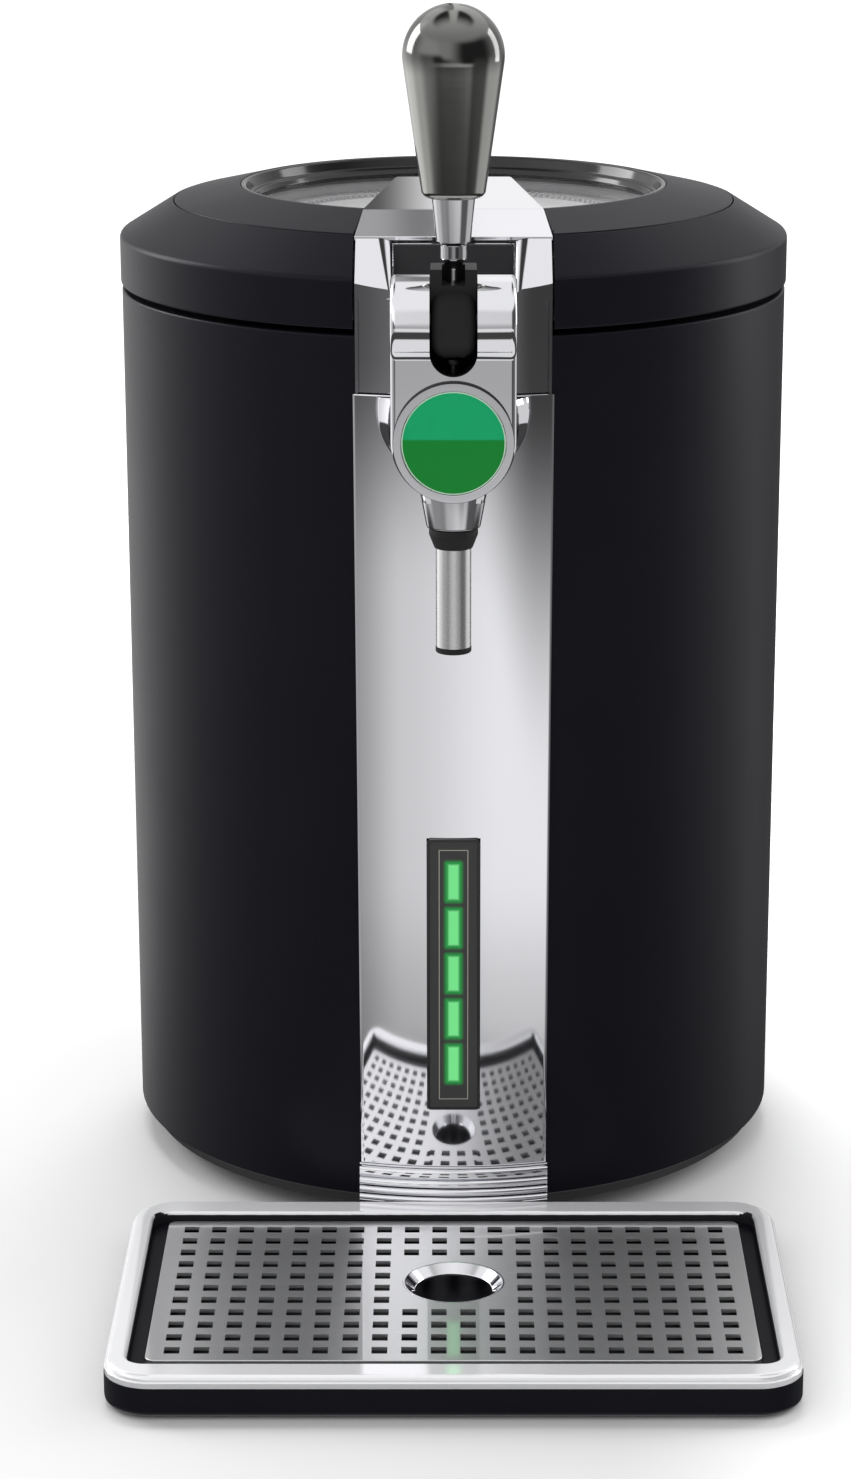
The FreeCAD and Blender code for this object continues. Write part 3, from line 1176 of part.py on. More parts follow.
def tray_base():
    base = tray_outline(0, TRAY_BOTTOM, TRAY_BASE_TOP)
    under = [e for e in base.Edges if abs(e.BoundBox.ZMax - TRAY_BOTTOM) < 1e-6]
    base = base.makeFillet(TRAY_TUCK, under)
    # The basin, with a ledge round it that carries the grille.
    seat = rounded_box(-GRILLE_HALF - RUN, GRILLE_HALF + RUN, GRILLE_FRONT_Y - RUN, GRILLE_BACK_Y + RUN,
                       LEDGE_Z, RIM_TOP_Z, 4.0)
    base = base.cut(seat)
    inset = 3.0
    basin = rounded_box(-GRILLE_HALF + inset, GRILLE_HALF - inset, GRILLE_FRONT_Y + inset,
                        GRILLE_BACK_Y - inset, TRAY_BOTTOM + TRAY_WALL, RIM_TOP_Z + 1, 6.0)
    base = base.cut(basin)
    tongue = rounded_box(-TONGUE_HALF, TONGUE_HALF, TRAY_BACK_Y - 12, TRAY_BACK_Y + TONGUE_REACH,
                         TRAY_BOTTOM + 1.2, TRAY_BOTTOM + 1.2 + TONGUE_T, 3.0)
    tongue = tongue.cut(basin)
    save("tray_base", base.fuse(tongue).removeSplitter())


def tray_feet():
    feet = []
    for x in (-TRAY_HALF + 26, TRAY_HALF - 26):
        for y in (TRAY_FRONT_Y + 26, TRAY_BACK_Y - 26):
            feet.append(rod_z(0, TRAY_BOTTOM, x, y, 6.0))
    save("tray_feet", *feet)


def tray_rim():
    """A polished frame: rounded outside, a flat band on top and a step down to the grille."""
    bottom = TRAY_BASE_TOP
    low = tray_outline(0.2, bottom, bottom + 2.4)
    high = tray_outline(1.0, bottom + 2.3, RIM_TOP_Z)
    top_edges = [e for e in high.Edges if abs(e.BoundBox.ZMin - RIM_TOP_Z) < 1e-6]
    high = high.makeFillet(1.8, top_edges)
    rim = low.fuse(high)
    opening = rounded_box(-RIM_OPEN_HALF, RIM_OPEN_HALF, RIM_OPEN_FRONT_Y, RIM_OPEN_BACK_Y,
                          bottom - 1, RIM_TOP_Z + 1, 7.0)
    save("tray_rim", rim.cut(opening).removeSplitter())


def grille_slots():
    pitch_x = 2 * (GRILLE_HALF - GRID_EDGE_X) / (SLOT_COLUMNS - 1)
    pitch_y = (GRILLE_BACK_Y - GRILLE_FRONT_Y - 2 * GRID_EDGE_Y) / (SLOT_ROWS - 1)
    for row in range(SLOT_ROWS):
        y = GRILLE_BACK_Y - GRID_EDGE_Y - row * pitch_y
        for column in range(SLOT_COLUMNS):
            x = -GRILLE_HALF + GRID_EDGE_X + column * pitch_x
            beside_hole = abs(x) < HOLE_RIM_R + 1 and abs(y - HOLE_Y) < HOLE_RIM_R + 3.2
            if not beside_hole:
                yield x, y


def tray_grille():
    """A steel plate with rows of square slots and a drain hole in a dished rim."""
    bottom = GRILLE_TOP_Z - GRILLE_T
    grille = rounded_box(-GRILLE_HALF, GRILLE_HALF, GRILLE_FRONT_Y, GRILLE_BACK_Y, bottom,
                         GRILLE_TOP_Z, 4.0)
    depth = 3.6
    dish = turned([(HOLE_R, bottom - depth + 1), (HOLE_R + 1, bottom - depth + 1),
                   (HOLE_RIM_R + 0.5, bottom), (HOLE_RIM_R + 0.5, GRILLE_TOP_Z),
                   (HOLE_RIM_R, GRILLE_TOP_Z)], 0, HOLE_Y)
    grille = grille.cut(rod_z(0, RIM_TOP_Z, 0, HOLE_Y, HOLE_RIM_R)).fuse(dish)
    slots = []
    for x, y in grille_slots():
        slots.append(box(x - SLOT_W / 2, x + SLOT_W / 2, y - SLOT_D / 2, y + SLOT_D / 2,
                         bottom - 1, GRILLE_TOP_Z + 1))
    save("tray_grille", grille.cut(slots))


# ---- Build every piece and write one file for each ----
base_pan()
rubber_feet()
cabinet_shell()
top_collar()
keg_chamber()
insulation_jacket()
cold_plate()
cooling_module()
heat_sink()
fan_frame()
fan_rotor()
rear_cover()
cover_screws()
power_inlet()
switch_frame()
power_rocker()
control_board()
power_supply()
front_panel()
panel_foot()
display_bezel()
display_lens()
level_lights()
display_board()
lid_shell()
lid_ring()
lid_lip()
lid_window()
ribbed_disc()
lid_liner()
lid_foam()
lid_seal()
lid_trim()
hinge_bracket()
hinge_pin()
lid_hinge_arm()
tap_housing()
housing_backing()
tap_body()
badge_bezel()
badge_disc()
spout_collar()
spout_tube()
spout_tip()
lever_pin()
lever_cam()
lever_stem()
lever_handle()
valve_plunger()
tray_base()
tray_feet()
tray_rim()
tray_grille()

os.makedirs("parts", exist_ok=True)
for name, shape in parts.items():
    if not shape.isValid():
        raise ValueError(name + " is not a valid solid")
    shape.exportStep("parts/" + name + ".step")
print(len(parts), "pieces written")
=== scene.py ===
import math

import bmesh
import bpy
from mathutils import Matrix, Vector


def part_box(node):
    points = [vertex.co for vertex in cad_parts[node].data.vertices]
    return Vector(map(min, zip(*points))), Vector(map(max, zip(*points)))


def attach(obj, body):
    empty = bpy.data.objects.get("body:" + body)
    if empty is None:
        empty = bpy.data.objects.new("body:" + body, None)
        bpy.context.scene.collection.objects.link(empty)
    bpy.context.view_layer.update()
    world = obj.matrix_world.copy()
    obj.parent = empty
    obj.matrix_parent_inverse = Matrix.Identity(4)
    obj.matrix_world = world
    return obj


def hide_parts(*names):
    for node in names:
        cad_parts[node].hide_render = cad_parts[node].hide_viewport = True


# A mini keg beer dispenser. Sizes below are millimetres: heights are from the worktop, and places
# in plan are from the cabinet's vertical axis, with the tap on -Y. solid() turns them into metres.

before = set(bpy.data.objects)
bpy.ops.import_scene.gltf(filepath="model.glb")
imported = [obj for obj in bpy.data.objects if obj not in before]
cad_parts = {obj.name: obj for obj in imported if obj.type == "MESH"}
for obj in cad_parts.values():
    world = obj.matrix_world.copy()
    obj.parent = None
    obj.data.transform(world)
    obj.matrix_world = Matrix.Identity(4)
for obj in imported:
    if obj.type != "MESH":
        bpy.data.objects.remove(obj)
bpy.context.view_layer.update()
scene = bpy.context.scene

MM = 0.001
chamber_low, chamber_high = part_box("keg_chamber")
AXIS = (chamber_low[1] + chamber_high[1]) / 2


def reach(node):
    """The lowest and highest corner of a CAD node, in millimetres from the cabinet's axis."""
    return [[x / MM, (y - AXIS) / MM, z / MM] for x, y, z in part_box(node)]


# ---- Base pan and feet ----
# The floor pan is a black moulding with a fine spark-eroded grain. It tapers in under the wall, and
# four soft rubber feet are pushed into its floor.

def arithmetic(operation, swapped=False):
    """An operator that adds one Math node, with its terms the other way round where swapped."""
    return lambda value, *other: value.maths(operation, *other, swapped=swapped)


class Value:
    """A number that changes over a surface. Arithmetic on it adds Math nodes to its material."""

    def __init__(self, finish, socket):
        self.finish = finish
        self.socket = socket

    def maths(self, operation, *others, swapped=False):
        terms = (*others, self) if swapped else (self, *others)
        return self.finish.node("Math", {"operation": operation}, dict(enumerate(terms)))

    __add__, __radd__ = arithmetic("ADD"), arithmetic("ADD", True)
    __sub__, __rsub__ = arithmetic("SUBTRACT"), arithmetic("SUBTRACT", True)
    __mul__, __rmul__ = arithmetic("MULTIPLY"), arithmetic("MULTIPLY", True)
    __truediv__ = arithmetic("DIVIDE")
    __lt__, __gt__ = arithmetic("LESS_THAN"), arithmetic("GREATER_THAN")
    __abs__ = arithmetic("ABSOLUTE")


class Finish:
    """A material: one Principled shader, and the nodes that vary it over the surface."""

    def __init__(self, name, color, roughness, metallic=0.0, **constants):
        self.material = bpy.data.materials.new(name)
        self.material.use_nodes = True
        self.tree = self.material.node_tree
        self.shader = self.tree.nodes["Principled BSDF"]
        self.set("Base Color", (*color, 1))
        self.set("Roughness", roughness)
        self.set("Metallic", metallic)
        for socket, value in constants.items():
            self.set(socket.replace("_", " "), value)
        self.at = self.node("TexCoord", output="Object")

    def node(self, kind, settings=None, inputs=None, output=0):
        """Adds a node with its settings and inputs, and returns one of its outputs."""
        made = self.tree.nodes.new("ShaderNode" + kind)
        for key, value in (settings or {}).items():
            setattr(made, key, value)
        for key, value in (inputs or {}).items():
            self.feed(made.inputs[key], value)
        return Value(self, made.outputs[output])

    def feed(self, socket, value):
        if isinstance(value, Value):
            self.tree.links.new(value.socket, socket)
        else:
            socket.default_value = value

    def set(self, socket, value):
        self.feed(self.shader.inputs[socket], value)

    def noise(self, scale, detail=2.0, stretch=(1, 1, 1)):
        """Soft noise around 0.5. Scale is in cells per metre, and stretch multiplies it by axis."""
        place = self.node("Mapping", inputs={"Vector": self.at, "Scale": stretch})
        return self.node("TexNoise", inputs={"Vector": place, "Scale": scale, "Detail": detail})

    def axis(self, letter):
        return self.node("SeparateXYZ", inputs={"Vector": self.at}, output=letter)

    def blend(self, mask, low, high):
        """A colour that goes from low to high as the mask goes from 0 to 1."""
        ends = [(*end, 1) if isinstance(end, tuple) else end for end in (low, high)]
        return self.node("Mix", {"data_type": "RGBA"}, {0: mask, 6: ends[0], 7: ends[1]}, output=2)

    def smooth(self, value, low, high):
        """0 below low, 1 above high, and a soft step between them."""
        settings = {"interpolation_type": "SMOOTHSTEP"}
        return self.node("MapRange", settings, {"Value": value, "From Min": low, "From Max": high})

    def bump(self, height, strength, depth):
        """Bumps of a depth in metres where the height goes from 0 to 1."""
        self.set("Normal", self.node("Bump", inputs={"Height": height, "Strength": strength,
                                                     "Distance": depth}))


def shades(color, *factors):
    """Darker or lighter shades of a colour."""
    return [tuple(c * factor for c in color) for factor in factors]


def moulded(name, color, roughness, grain, depth, **constants):
    """Moulded plastic or rubber: a fine grain, and faint cloudiness in its gloss and colour."""
    made = Finish(name, color, roughness, **constants)
    cloud = made.noise(22, 3)
    speck = made.noise(grain, 2)
    made.set("Roughness", roughness - 0.05 + cloud * 0.06 + speck * 0.04)
    made.set("Base Color", made.blend(cloud * 0.7 + speck * 0.3, *shades(color, 0.86, 1.14)))
    made.bump(speck, 0.35, depth)
    return made


def settle(piece):
    """Turns a piece's modifiers into a plain mesh."""
    shape = piece.evaluated_get(bpy.context.evaluated_depsgraph_get())
    piece_data = bpy.data.meshes.new_from_object(shape)
    piece.modifiers.clear()
    piece.data = piece_data


def shade(piece, limit=32):
    """Smooth shading between sharp edges, with flat faces kept flat beside small roundings."""
    piece.data.shade_smooth()
    piece.data.set_sharp_from_angle(angle=math.radians(limit))
    step = piece.modifiers.new("weigh", "WEIGHTED_NORMAL")
    step.keep_sharp = True
    step.weight = 50
    settle(piece)
    return piece


def ease(piece, width, steps=3, limit=32):
    """Rounds a piece's sharp edges by a width in millimetres."""
    step = piece.modifiers.new("ease", "BEVEL")
    step.width = width * MM
    step.segments = steps
    step.limit_method = "ANGLE"
    step.angle_limit = math.radians(limit)
    settle(piece)
    return shade(piece, limit)


def from_cad(node, width=0.0, steps=2):
    """A copy of a CAD node with whole faces instead of triangles, and its sharp edges rounded."""
    mesh = bmesh.new()
    mesh.from_mesh(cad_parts[node].data)
    bmesh.ops.remove_doubles(mesh, verts=mesh.verts, dist=1e-6)
    bmesh.ops.dissolve_limit(mesh, angle_limit=math.radians(0.6), verts=mesh.verts,
                             edges=mesh.edges)
    data = bpy.data.meshes.new(node)
    mesh.to_mesh(data)
    mesh.free()
    made = bpy.data.objects.new(node + "_piece", data)
    scene.collection.objects.link(made)
    if width:
        ease(made, width, steps)
    return shade(made)


def fit(piece, finish, body, *nodes, slot):
    """Gives a piece its finish, and puts it on its body, in place of any CAD nodes named."""
    piece.data.materials.clear()
    piece.data.materials.append(finish.material)
    if nodes:
        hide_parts(*nodes)
    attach(piece, body)


def fit_cad(node, width, finish, body, slot, steps=2):
    """Fits a CAD node's own shape in its place, with its edges rounded by a width."""
    fit(from_cad(node, width, steps), finish, body, node, slot=slot)


pan_black = moulded("pan_black", (0.010, 0.010, 0.012), 0.62, 900, 0.00006, Specular_IOR_Level=0.14)
rubber = moulded("rubber", (0.010, 0.010, 0.010), 0.70, 1500, 0.00003, Specular_IOR_Level=0.3)
fit_cad("base_pan", 0.5, pan_black, "cabinet", "satin_black")
fit_cad("rubber_feet", 0.6, rubber, "cabinet", "rubber")


# ---- Cabinet wall and top collar ----
# The wall is a rolled and painted sleeve with a soft-touch black coat. The collar closes the space
# between the wall and the keg chamber, and the lid shuts down on it.

def rounded(corners, steps=5):
    """An outline with rounded corners. A corner is (u, v), or (u, v, radius) if it is rounded."""
    outline = []
    count = len(corners)
    for i, corner in enumerate(corners):
        here = Vector(corner[:2])
        if len(corner) == 2:
            outline.append(tuple(here))
            continue
        before = (Vector(corners[i - 1][:2]) - here).normalized()
        after = (Vector(corners[(i + 1) % count][:2]) - here).normalized()
        half = before.angle(after) / 2
        centre = here + (before + after).normalized() * (corner[2] / math.sin(half))
        first = here + before * (corner[2] / math.tan(half)) - centre
        last = here + after * (corner[2] / math.tan(half)) - centre
        turn = first.angle_signed(last)
        for k in range(steps + 1):
            a = -turn * k / steps
            outline.append((centre.x + first.x * math.cos(a) - first.y * math.sin(a),
                            centre.y + first.x * math.sin(a) + first.y * math.cos(a)))
    return outline


def loops(rows, closed_rows=True, caps=False):
    """A mesh from rows of points, each row a closed loop joined to the next one."""
    mesh = bmesh.new()
    rings = [[mesh.verts.new(Vector(p)) for p in row] for row in rows]
    pairs = list(zip(rings, rings[1:]))
    if closed_rows:
        pairs.append((rings[-1], rings[0]))
    for lower, upper in pairs:
        for i in range(max(len(lower), len(upper))):
            quad = [lower[i % len(lower)], lower[(i + 1) % len(lower)],
                    upper[(i + 1) % len(upper)], upper[i % len(upper)]]
            corners = list(dict.fromkeys(quad))
            if len(corners) > 2:
                mesh.faces.new(corners)
    if caps:
        mesh.faces.new(rings[0][::-1])
        mesh.faces.new(rings[-1])
    bmesh.ops.recalc_face_normals(mesh, faces=mesh.faces)
    return mesh


def turned(outline, x=0.0, across=0.0, steps=144, along="z"):
    """A ring or disc turned from an outline of (radius, level), about a line along Z or Y."""
    rows = []
    for r, level in outline:
        row = []
        for i in range(steps if r > 1e-6 else 1):
            a = math.tau * (i + 0.5) / steps
            u, v = x + r * math.cos(a), across + r * math.sin(a)
            row.append((u, v, level) if along == "z" else (u, level, v))
        rows.append(row)
    return loops(rows)


def prism(outline, axis, low, high):
    """A solid with one outline all along an axis. The outline has the other two axes, in order."""
    rows = []
    for level in (low, high):
        row = []
        for u, v in outline:
            point = [u, v]
            point.insert("xyz".index(axis), level)
            row.append(point)
        rows.append(row)
    return loops(rows, closed_rows=False, caps=True)


def block(x0, x1, y0, y1, z0, z1):
    return prism([(x0, y0), (x1, y0), (x1, y1), (x0, y1)], "z", z0, z1)


def solid(name, mesh):
    """An object from a mesh in millimetres: it keeps its place in its vertices."""
    for vert in mesh.verts:
        vert.co = Vector((vert.co.x * MM, vert.co.y * MM + AXIS, vert.co.z * MM))
    data = bpy.data.meshes.new(name)
    mesh.to_mesh(data)
    mesh.free()
    made = bpy.data.objects.new(name, data)
    scene.collection.objects.link(made)
    return made


def combine(piece, *meshes, operation="DIFFERENCE"):
    """Cuts meshes out of a piece, or joins or crosses them with it."""
    for mesh in meshes:
        other = solid("cutter", mesh)
        step = piece.modifiers.new("combine", "BOOLEAN")
        step.operation = operation
        step.solver = "EXACT"
        step.object = other
        settle(piece)
        bpy.data.objects.remove(other)


shell_low, shell_high = reach("cabinet_shell")
BODY_R = shell_high[0]
BODY_TOP = shell_high[2]
SHELL_WALL = 2.5
SHELL_STEPS = 256
TAP_GAP_HALF = 22.1
TAP_GAP_BOTTOM = 351.2
VENT_HALF = 52.0
VENT_LOW, VENT_HIGH = 46.0, 331.0
PAST = 9.0  # how far a cutter reaches past what it cuts

soft_black = moulded("soft_black", (0.0062, 0.0064, 0.0090), 0.36, 1300, 0.000016,
                     Specular_IOR_Level=0.115, Specular_Tint=(0.87, 0.86, 1.0, 1.0))

wall = solid("cabinet_wall", turned(rounded(
    [(BODY_R - SHELL_WALL, shell_low[2]), (BODY_R, shell_low[2], 0.8), (BODY_R, BODY_TOP, 0.9),
     (BODY_R - SHELL_WALL, BODY_TOP)]), steps=SHELL_STEPS))
combine(wall,
        block(-TAP_GAP_HALF, TAP_GAP_HALF, -BODY_R - PAST, 0, TAP_GAP_BOTTOM, BODY_TOP + PAST),
        block(-VENT_HALF, VENT_HALF, 0, BODY_R + PAST, VENT_LOW, VENT_HIGH))
fit(shade(wall), soft_black, "cabinet", "cabinet_shell", slot="satin_black")
fit_cad("top_collar", 0.4, soft_black, "cabinet", "satin_black")


# ---- Keg chamber, insulation and cooling unit ----
# A drawn aluminium cup takes the keg inside a cup of rigid foam. A thermoelectric module between
# the cup's cold plate and a finned heat sink cools it, and a fan blows through the fins.

def metal(name, color, roughness, scratches, stretch):
    """Bare metal: fine scratches and a slow cloudiness change how blurred its reflections are."""
    made = Finish(name, color, roughness, 1.0)
    cloud = made.noise(30, 2)
    scratch = made.noise(scratches, 2, stretch)
    made.set("Roughness", roughness * 0.8 + cloud * roughness * 0.25 + scratch * roughness * 0.2)
    made.set("Base Color", made.blend(scratch, *shades(color, 0.95, 1)))
    made.bump(scratch, 0.25, 0.00001)
    return made


def dress(finish, *nodes):
    """Gives CAD nodes a finish, and leaves their shape alone."""
    for node in nodes:
        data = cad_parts[node].data
        data.materials.clear()
        data.materials.append(finish.material)


aluminium = metal("drawn_aluminium", (0.72, 0.73, 0.75), 0.28, 60, (1, 1, 30))
zinc = metal("zinc_plate", (0.60, 0.61, 0.63), 0.30, 900, (1, 1, 1))

foam = Finish("rigid_foam", (0.78, 0.74, 0.58), 0.95, Specular_IOR_Level=0.1)
cells = foam.node("TexVoronoi", inputs={"Vector": foam.at, "Scale": 420})
foam.set("Base Color", foam.blend(cells, (0.80, 0.77, 0.62), (0.66, 0.60, 0.44)))
foam.bump(cells, 0.6, 0.0003)

wafer = moulded("ceramic_wafer", (0.80, 0.80, 0.76), 0.55, 1200, 0.00002)
fan_black = moulded("fan_black", (0.014, 0.014, 0.016), 0.45, 1100, 0.00003)
circuit = Finish("circuit_board", (0.015, 0.12, 0.05), 0.35)
tracks = circuit.node("TexBrick", inputs={"Vector": circuit.at, "Scale": 260, "Mortar Size": 0.02,
                                          "Color1": (0, 0, 0, 1), "Color2": (0.15, 0.15, 0.15, 1),
                                          "Mortar": (1, 1, 1, 1)})
circuit.set("Base Color", circuit.blend(tracks, (0.012, 0.10, 0.04), (0.05, 0.24, 0.09)))

dress(aluminium, "keg_chamber", "cold_plate", "heat_sink")
dress(foam, "insulation_jacket")
dress(wafer, "cooling_module")
dress(fan_black, "fan_frame", "fan_rotor")
dress(circuit, "control_board")
dress(zinc, "power_supply")


# ---- Rear cover, mains inlet and switch ----
# The cover is a grained black moulding with rows of air slots, held by four screws. The two-pin
# inlet and the rocker switch snap into it from outside.

gloss_black = moulded("gloss_black", (0.006, 0.006, 0.007), 0.13, 700, 0.000004)
fit_cad("rear_cover", 0.7, pan_black, "cabinet", "matte_black")
fit_cad("power_inlet", 0.3, fan_black, "cabinet", "matte_black")
fit_cad("switch_frame", 0.3, gloss_black, "cabinet", "gloss_black")
fit_cad("power_rocker", 0.4, gloss_black, "rocker", "gloss_black")

SCREW_R = 3.0
CROSS_LENGTH = 3.6
CROSS_WIDTH = 0.9
CROSS_DEPTH = 0.9
screws = from_cad("cover_screws", 0.25)
screw_low, screw_high = reach("cover_screws")
for x in (screw_low[0] + SCREW_R, screw_high[0] - SCREW_R):
    for z in (screw_low[2] + SCREW_R, screw_high[2] - SCREW_R):
        for across, up in ((CROSS_LENGTH, CROSS_WIDTH), (CROSS_WIDTH, CROSS_LENGTH)):
            combine(screws, block(x - across / 2, x + across / 2, screw_high[1] - CROSS_DEPTH,
                                  screw_high[1] + 1, z - up / 2, z + up / 2))
fit(shade(screws), zinc, "cabinet", "cover_screws", slot="zinc_steel")


# ---- Front panel and its foot ----
# A strip of mirror chrome, bent to the wall, runs from the tap down to the drip tray. Rounded
# mouldings step its foot out to the tray's rim.

panel_low, panel_high = reach("front_panel")
display_low, display_high = reach("display_bezel")
PANEL_R = -panel_low[1]
PANEL_T = 2.4
PANEL_HALF_TOP = panel_high[0]
PANEL_HALF_BOTTOM = 38.0
PANEL_EDGE, PANEL_EDGE_MIDDLE = 0.7, 0.2
PANEL_STEPS = 96
DISPLAY_PLAY = 0.1


def polished(name, color, roughness):
    """Mirror plating: a hint of haze and very fine wiping marks."""
    made = Finish(name, color, roughness, 1.0)
    haze = made.noise(16, 3)
    wiped = made.noise(55, 2, (1, 1, 12))
    made.set("Roughness", roughness * 0.7 + haze * roughness * 0.5 + wiped * roughness * 0.3)
    made.set("Base Color", made.blend(haze, *shades(color, 0.96, 1)))
    return made


chrome = polished("mirror_chrome", (0.80, 0.80, 0.83), 0.045)

rows = []
for radius, inset in ((PANEL_R - PANEL_T, 0), (PANEL_R - PANEL_EDGE, 0),
                      (PANEL_R - PANEL_EDGE_MIDDLE, PANEL_EDGE_MIDDLE), (PANEL_R, PANEL_EDGE)):
    row = []
    for half, z, way in ((PANEL_HALF_BOTTOM, panel_low[2] + inset, 1),
                         (PANEL_HALF_TOP, panel_high[2] - inset, -1)):
        for i in range(PANEL_STEPS + 1):
            x = way * (2 * i / PANEL_STEPS - 1) * (half - inset)
            row.append((x, -math.sqrt(radius ** 2 - x ** 2), z))
    rows.append(row)
panel_mesh = loops(rows, closed_rows=False)
panel_mesh.verts.ensure_lookup_table()
for first in (0, (len(rows) - 1) * len(row)):
    for i in range(PANEL_STEPS):
        corners = (i, i + 1, len(row) - 2 - i, len(row) - 1 - i)
        panel_mesh.faces.new([panel_mesh.verts[first + k] for k in corners])
bmesh.ops.recalc_face_normals(panel_mesh, faces=panel_mesh.faces)
panel = solid("chrome_strip", panel_mesh)
combine(panel, block(display_low[0] - DISPLAY_PLAY, display_high[0] + DISPLAY_PLAY,
                     panel_low[1] - PAST, 0,
                     display_low[2] - DISPLAY_PLAY, display_high[2] + DISPLAY_PLAY))
fit(shade(panel), chrome, "cabinet", "front_panel", slot="polished_chrome")

foot_low, foot_high = reach("panel_foot")
FOOT_TOP = foot_high[2]
FOOT_BOTTOM = foot_low[2] - 3.8
FOOT_SLAB = (foot_low[0], foot_high[0], -BODY_R - 20, -BODY_R / 2, 0, 60)
FOOT_BACK = BODY_R + 0.1
CAP_BACK = PANEL_R - 0.3
CAP_T = 0.4
GROOVE = 0.3
GROOVE_FLOOR = PANEL_R + 1.6
LOW_ROUNDING, TOP_ROUNDING = 1.1, 1.3
# The height of each moulding's top, and how far it stands proud of the strip.
MOULDINGS = ((17.6, 5.55), (20.8, 4.9), (24.3, 4.1), (FOOT_TOP - CAP_T, 3.1))
foot_outline = [(FOOT_BACK, FOOT_BOTTOM)]
floor_z = FOOT_BOTTOM
for top, proud in MOULDINGS:
    foot_outline += [(PANEL_R + proud, floor_z, LOW_ROUNDING), (PANEL_R + proud, top, TOP_ROUNDING)]
    floor_z = top + GROOVE
    if (top, proud) != MOULDINGS[-1]:
        foot_outline += [(GROOVE_FLOOR, top), (GROOVE_FLOOR, floor_z)]
foot_outline += [(CAP_BACK, FOOT_TOP - CAP_T, 0.2), (CAP_BACK, FOOT_TOP), (FOOT_BACK, FOOT_TOP)]
foot = solid("chrome_foot", turned(rounded(foot_outline), steps=360))
combine(foot, block(*FOOT_SLAB), operation="INTERSECT")
fit(ease(foot, 0.15, 2), chrome, "cabinet", "panel_foot", slot="polished_chrome")


# ---- Level display ----
# A dark window in a black bezel stands a little proud of the chrome. A thin pale frame is printed
# on it, and five green lamps behind it show how full the keg is. Their light bleeds into it.

LAMP_HALF = 2.6
LAMP_HEIGHT = 15.6
LAMP_PITCH = 19.4
LAMP_COUNT = 5
GLOW_REACH = 2.6
FRAME_HALF = 5.75
FRAME_LOW, FRAME_HIGH = 59.5, 165.6
FRAME_LINE = 0.17
WINDOW_GREY = (0.040, 0.040, 0.040)
FRAME_GREY = (0.34, 0.32, 0.28)
GLOW_GREEN = (0.004, 0.17, 0.028)
LAMP_GREEN = (0.155, 0.70, 0.23)

lamps_low, lamps_high = reach("level_lights")
lamps_middle = (lamps_low[2] + lamps_high[2]) / 2


def past_lamp(finish):
    """How far a point of the display is outside its nearest lamp, in metres."""
    height = finish.axis("Z") - lamps_middle * MM
    last = (LAMP_COUNT - 1) / 2
    row = (height / (LAMP_PITCH * MM)).maths("ROUND")
    row = row.maths("MINIMUM", last).maths("MAXIMUM", -last)
    beyond = abs(height - row * (LAMP_PITCH * MM)) - LAMP_HEIGHT * MM / 2
    beside = abs(finish.axis("X")) - LAMP_HALF * MM
    above, aside = beyond.maths("MAXIMUM", 0.0), beside.maths("MAXIMUM", 0.0)
    corner = (above * above + aside * aside).maths("SQRT")
    return corner + beyond.maths("MAXIMUM", beside).maths("MINIMUM", 0.0)


window = Finish("display_window", WINDOW_GREY, 0.36, Specular_IOR_Level=0.3, Emission_Strength=1.0)
dimming = 1 - window.smooth(past_lamp(window), -0.2 * MM, GLOW_REACH * MM)
halo = dimming * dimming
frame_middle = (FRAME_LOW + FRAME_HIGH) / 2 * MM
past_side = abs(window.axis("X")) - FRAME_HALF * MM
past_end = abs(window.axis("Z") - frame_middle) - (FRAME_HIGH - FRAME_LOW) / 2 * MM
line = abs(past_side.maths("MAXIMUM", past_end)) < FRAME_LINE * MM
face = window.blend(line, WINDOW_GREY, FRAME_GREY)
window.set("Base Color", window.blend(halo, face, GLOW_GREEN))
window.set("Emission Color", window.blend(halo, (0, 0, 0), GLOW_GREEN))
window.bump(window.noise(1500, 2), 0.15, 0.00001)

lamp = Finish("green_lamp", (0.01, 0.05, 0.015), 0.4, Emission_Strength=1.0)
core = 1 - lamp.smooth(past_lamp(lamp), -1.1 * MM, 0.15 * MM)
lamp.set("Emission Color", lamp.blend(core, GLOW_GREEN, LAMP_GREEN))

fit_cad("display_bezel", 0.45, gloss_black, "cabinet", "gloss_black", 3)
dress(window, "display_lens")
dress(lamp, "level_lights")
dress(circuit, "display_board")


# ---- Lid ----
# The lid is a soft-touch shell with a sloping shoulder, a separate top ring and a glossy bead round
# a smoked window. Under the window lie a grey deck with fine ribs and the foam-filled plug.

lid_low, lid_high = reach("lid_shell")
ring_high = reach("lid_ring")[1]
lip_low, lip_high = reach("lid_lip")
trim_low, trim_high = reach("lid_trim")
housing_low, housing_high = reach("tap_housing")
LID_R = lid_high[0]
LID_BOTTOM = lid_low[2]
LID_WALL = 2.6
SHOULDER_Z = 393.0
SEAM_R = ring_high[0]
SEAM_Z = 406.84
SEAM_PLAY = 0.1
SEAM_GAP = 0.35
LEDGE_W = 8.0
LEDGE_T = 2.0
RING_INNER_R = lip_high[0] + SEAM_PLAY
RING_TOP = ring_high[2]
RING_T = 2.4
RING_SLOPE = (RING_TOP - SEAM_Z) / (SEAM_R - RING_INNER_R)
WINDOW_TOP = lip_low[2]
NOTCH_HALF = housing_high[0] + 0.9
NOTCH_BACK = housing_high[1] + 0.6
MOVING_PLAY = 0.7
EAR_HALF = 28.3
EAR_FRONT = 100.0
EAR_TOP = 387.3
TRIM_BACK_HALF = 23.6
TRIM_CORNER = 7.0
# Heights that the lid's cutters start and end at, well outside what they cut.
NOTCH_LOW, CUT_LOW, CUT_HIGH = 300.0, 380.0, 450.0


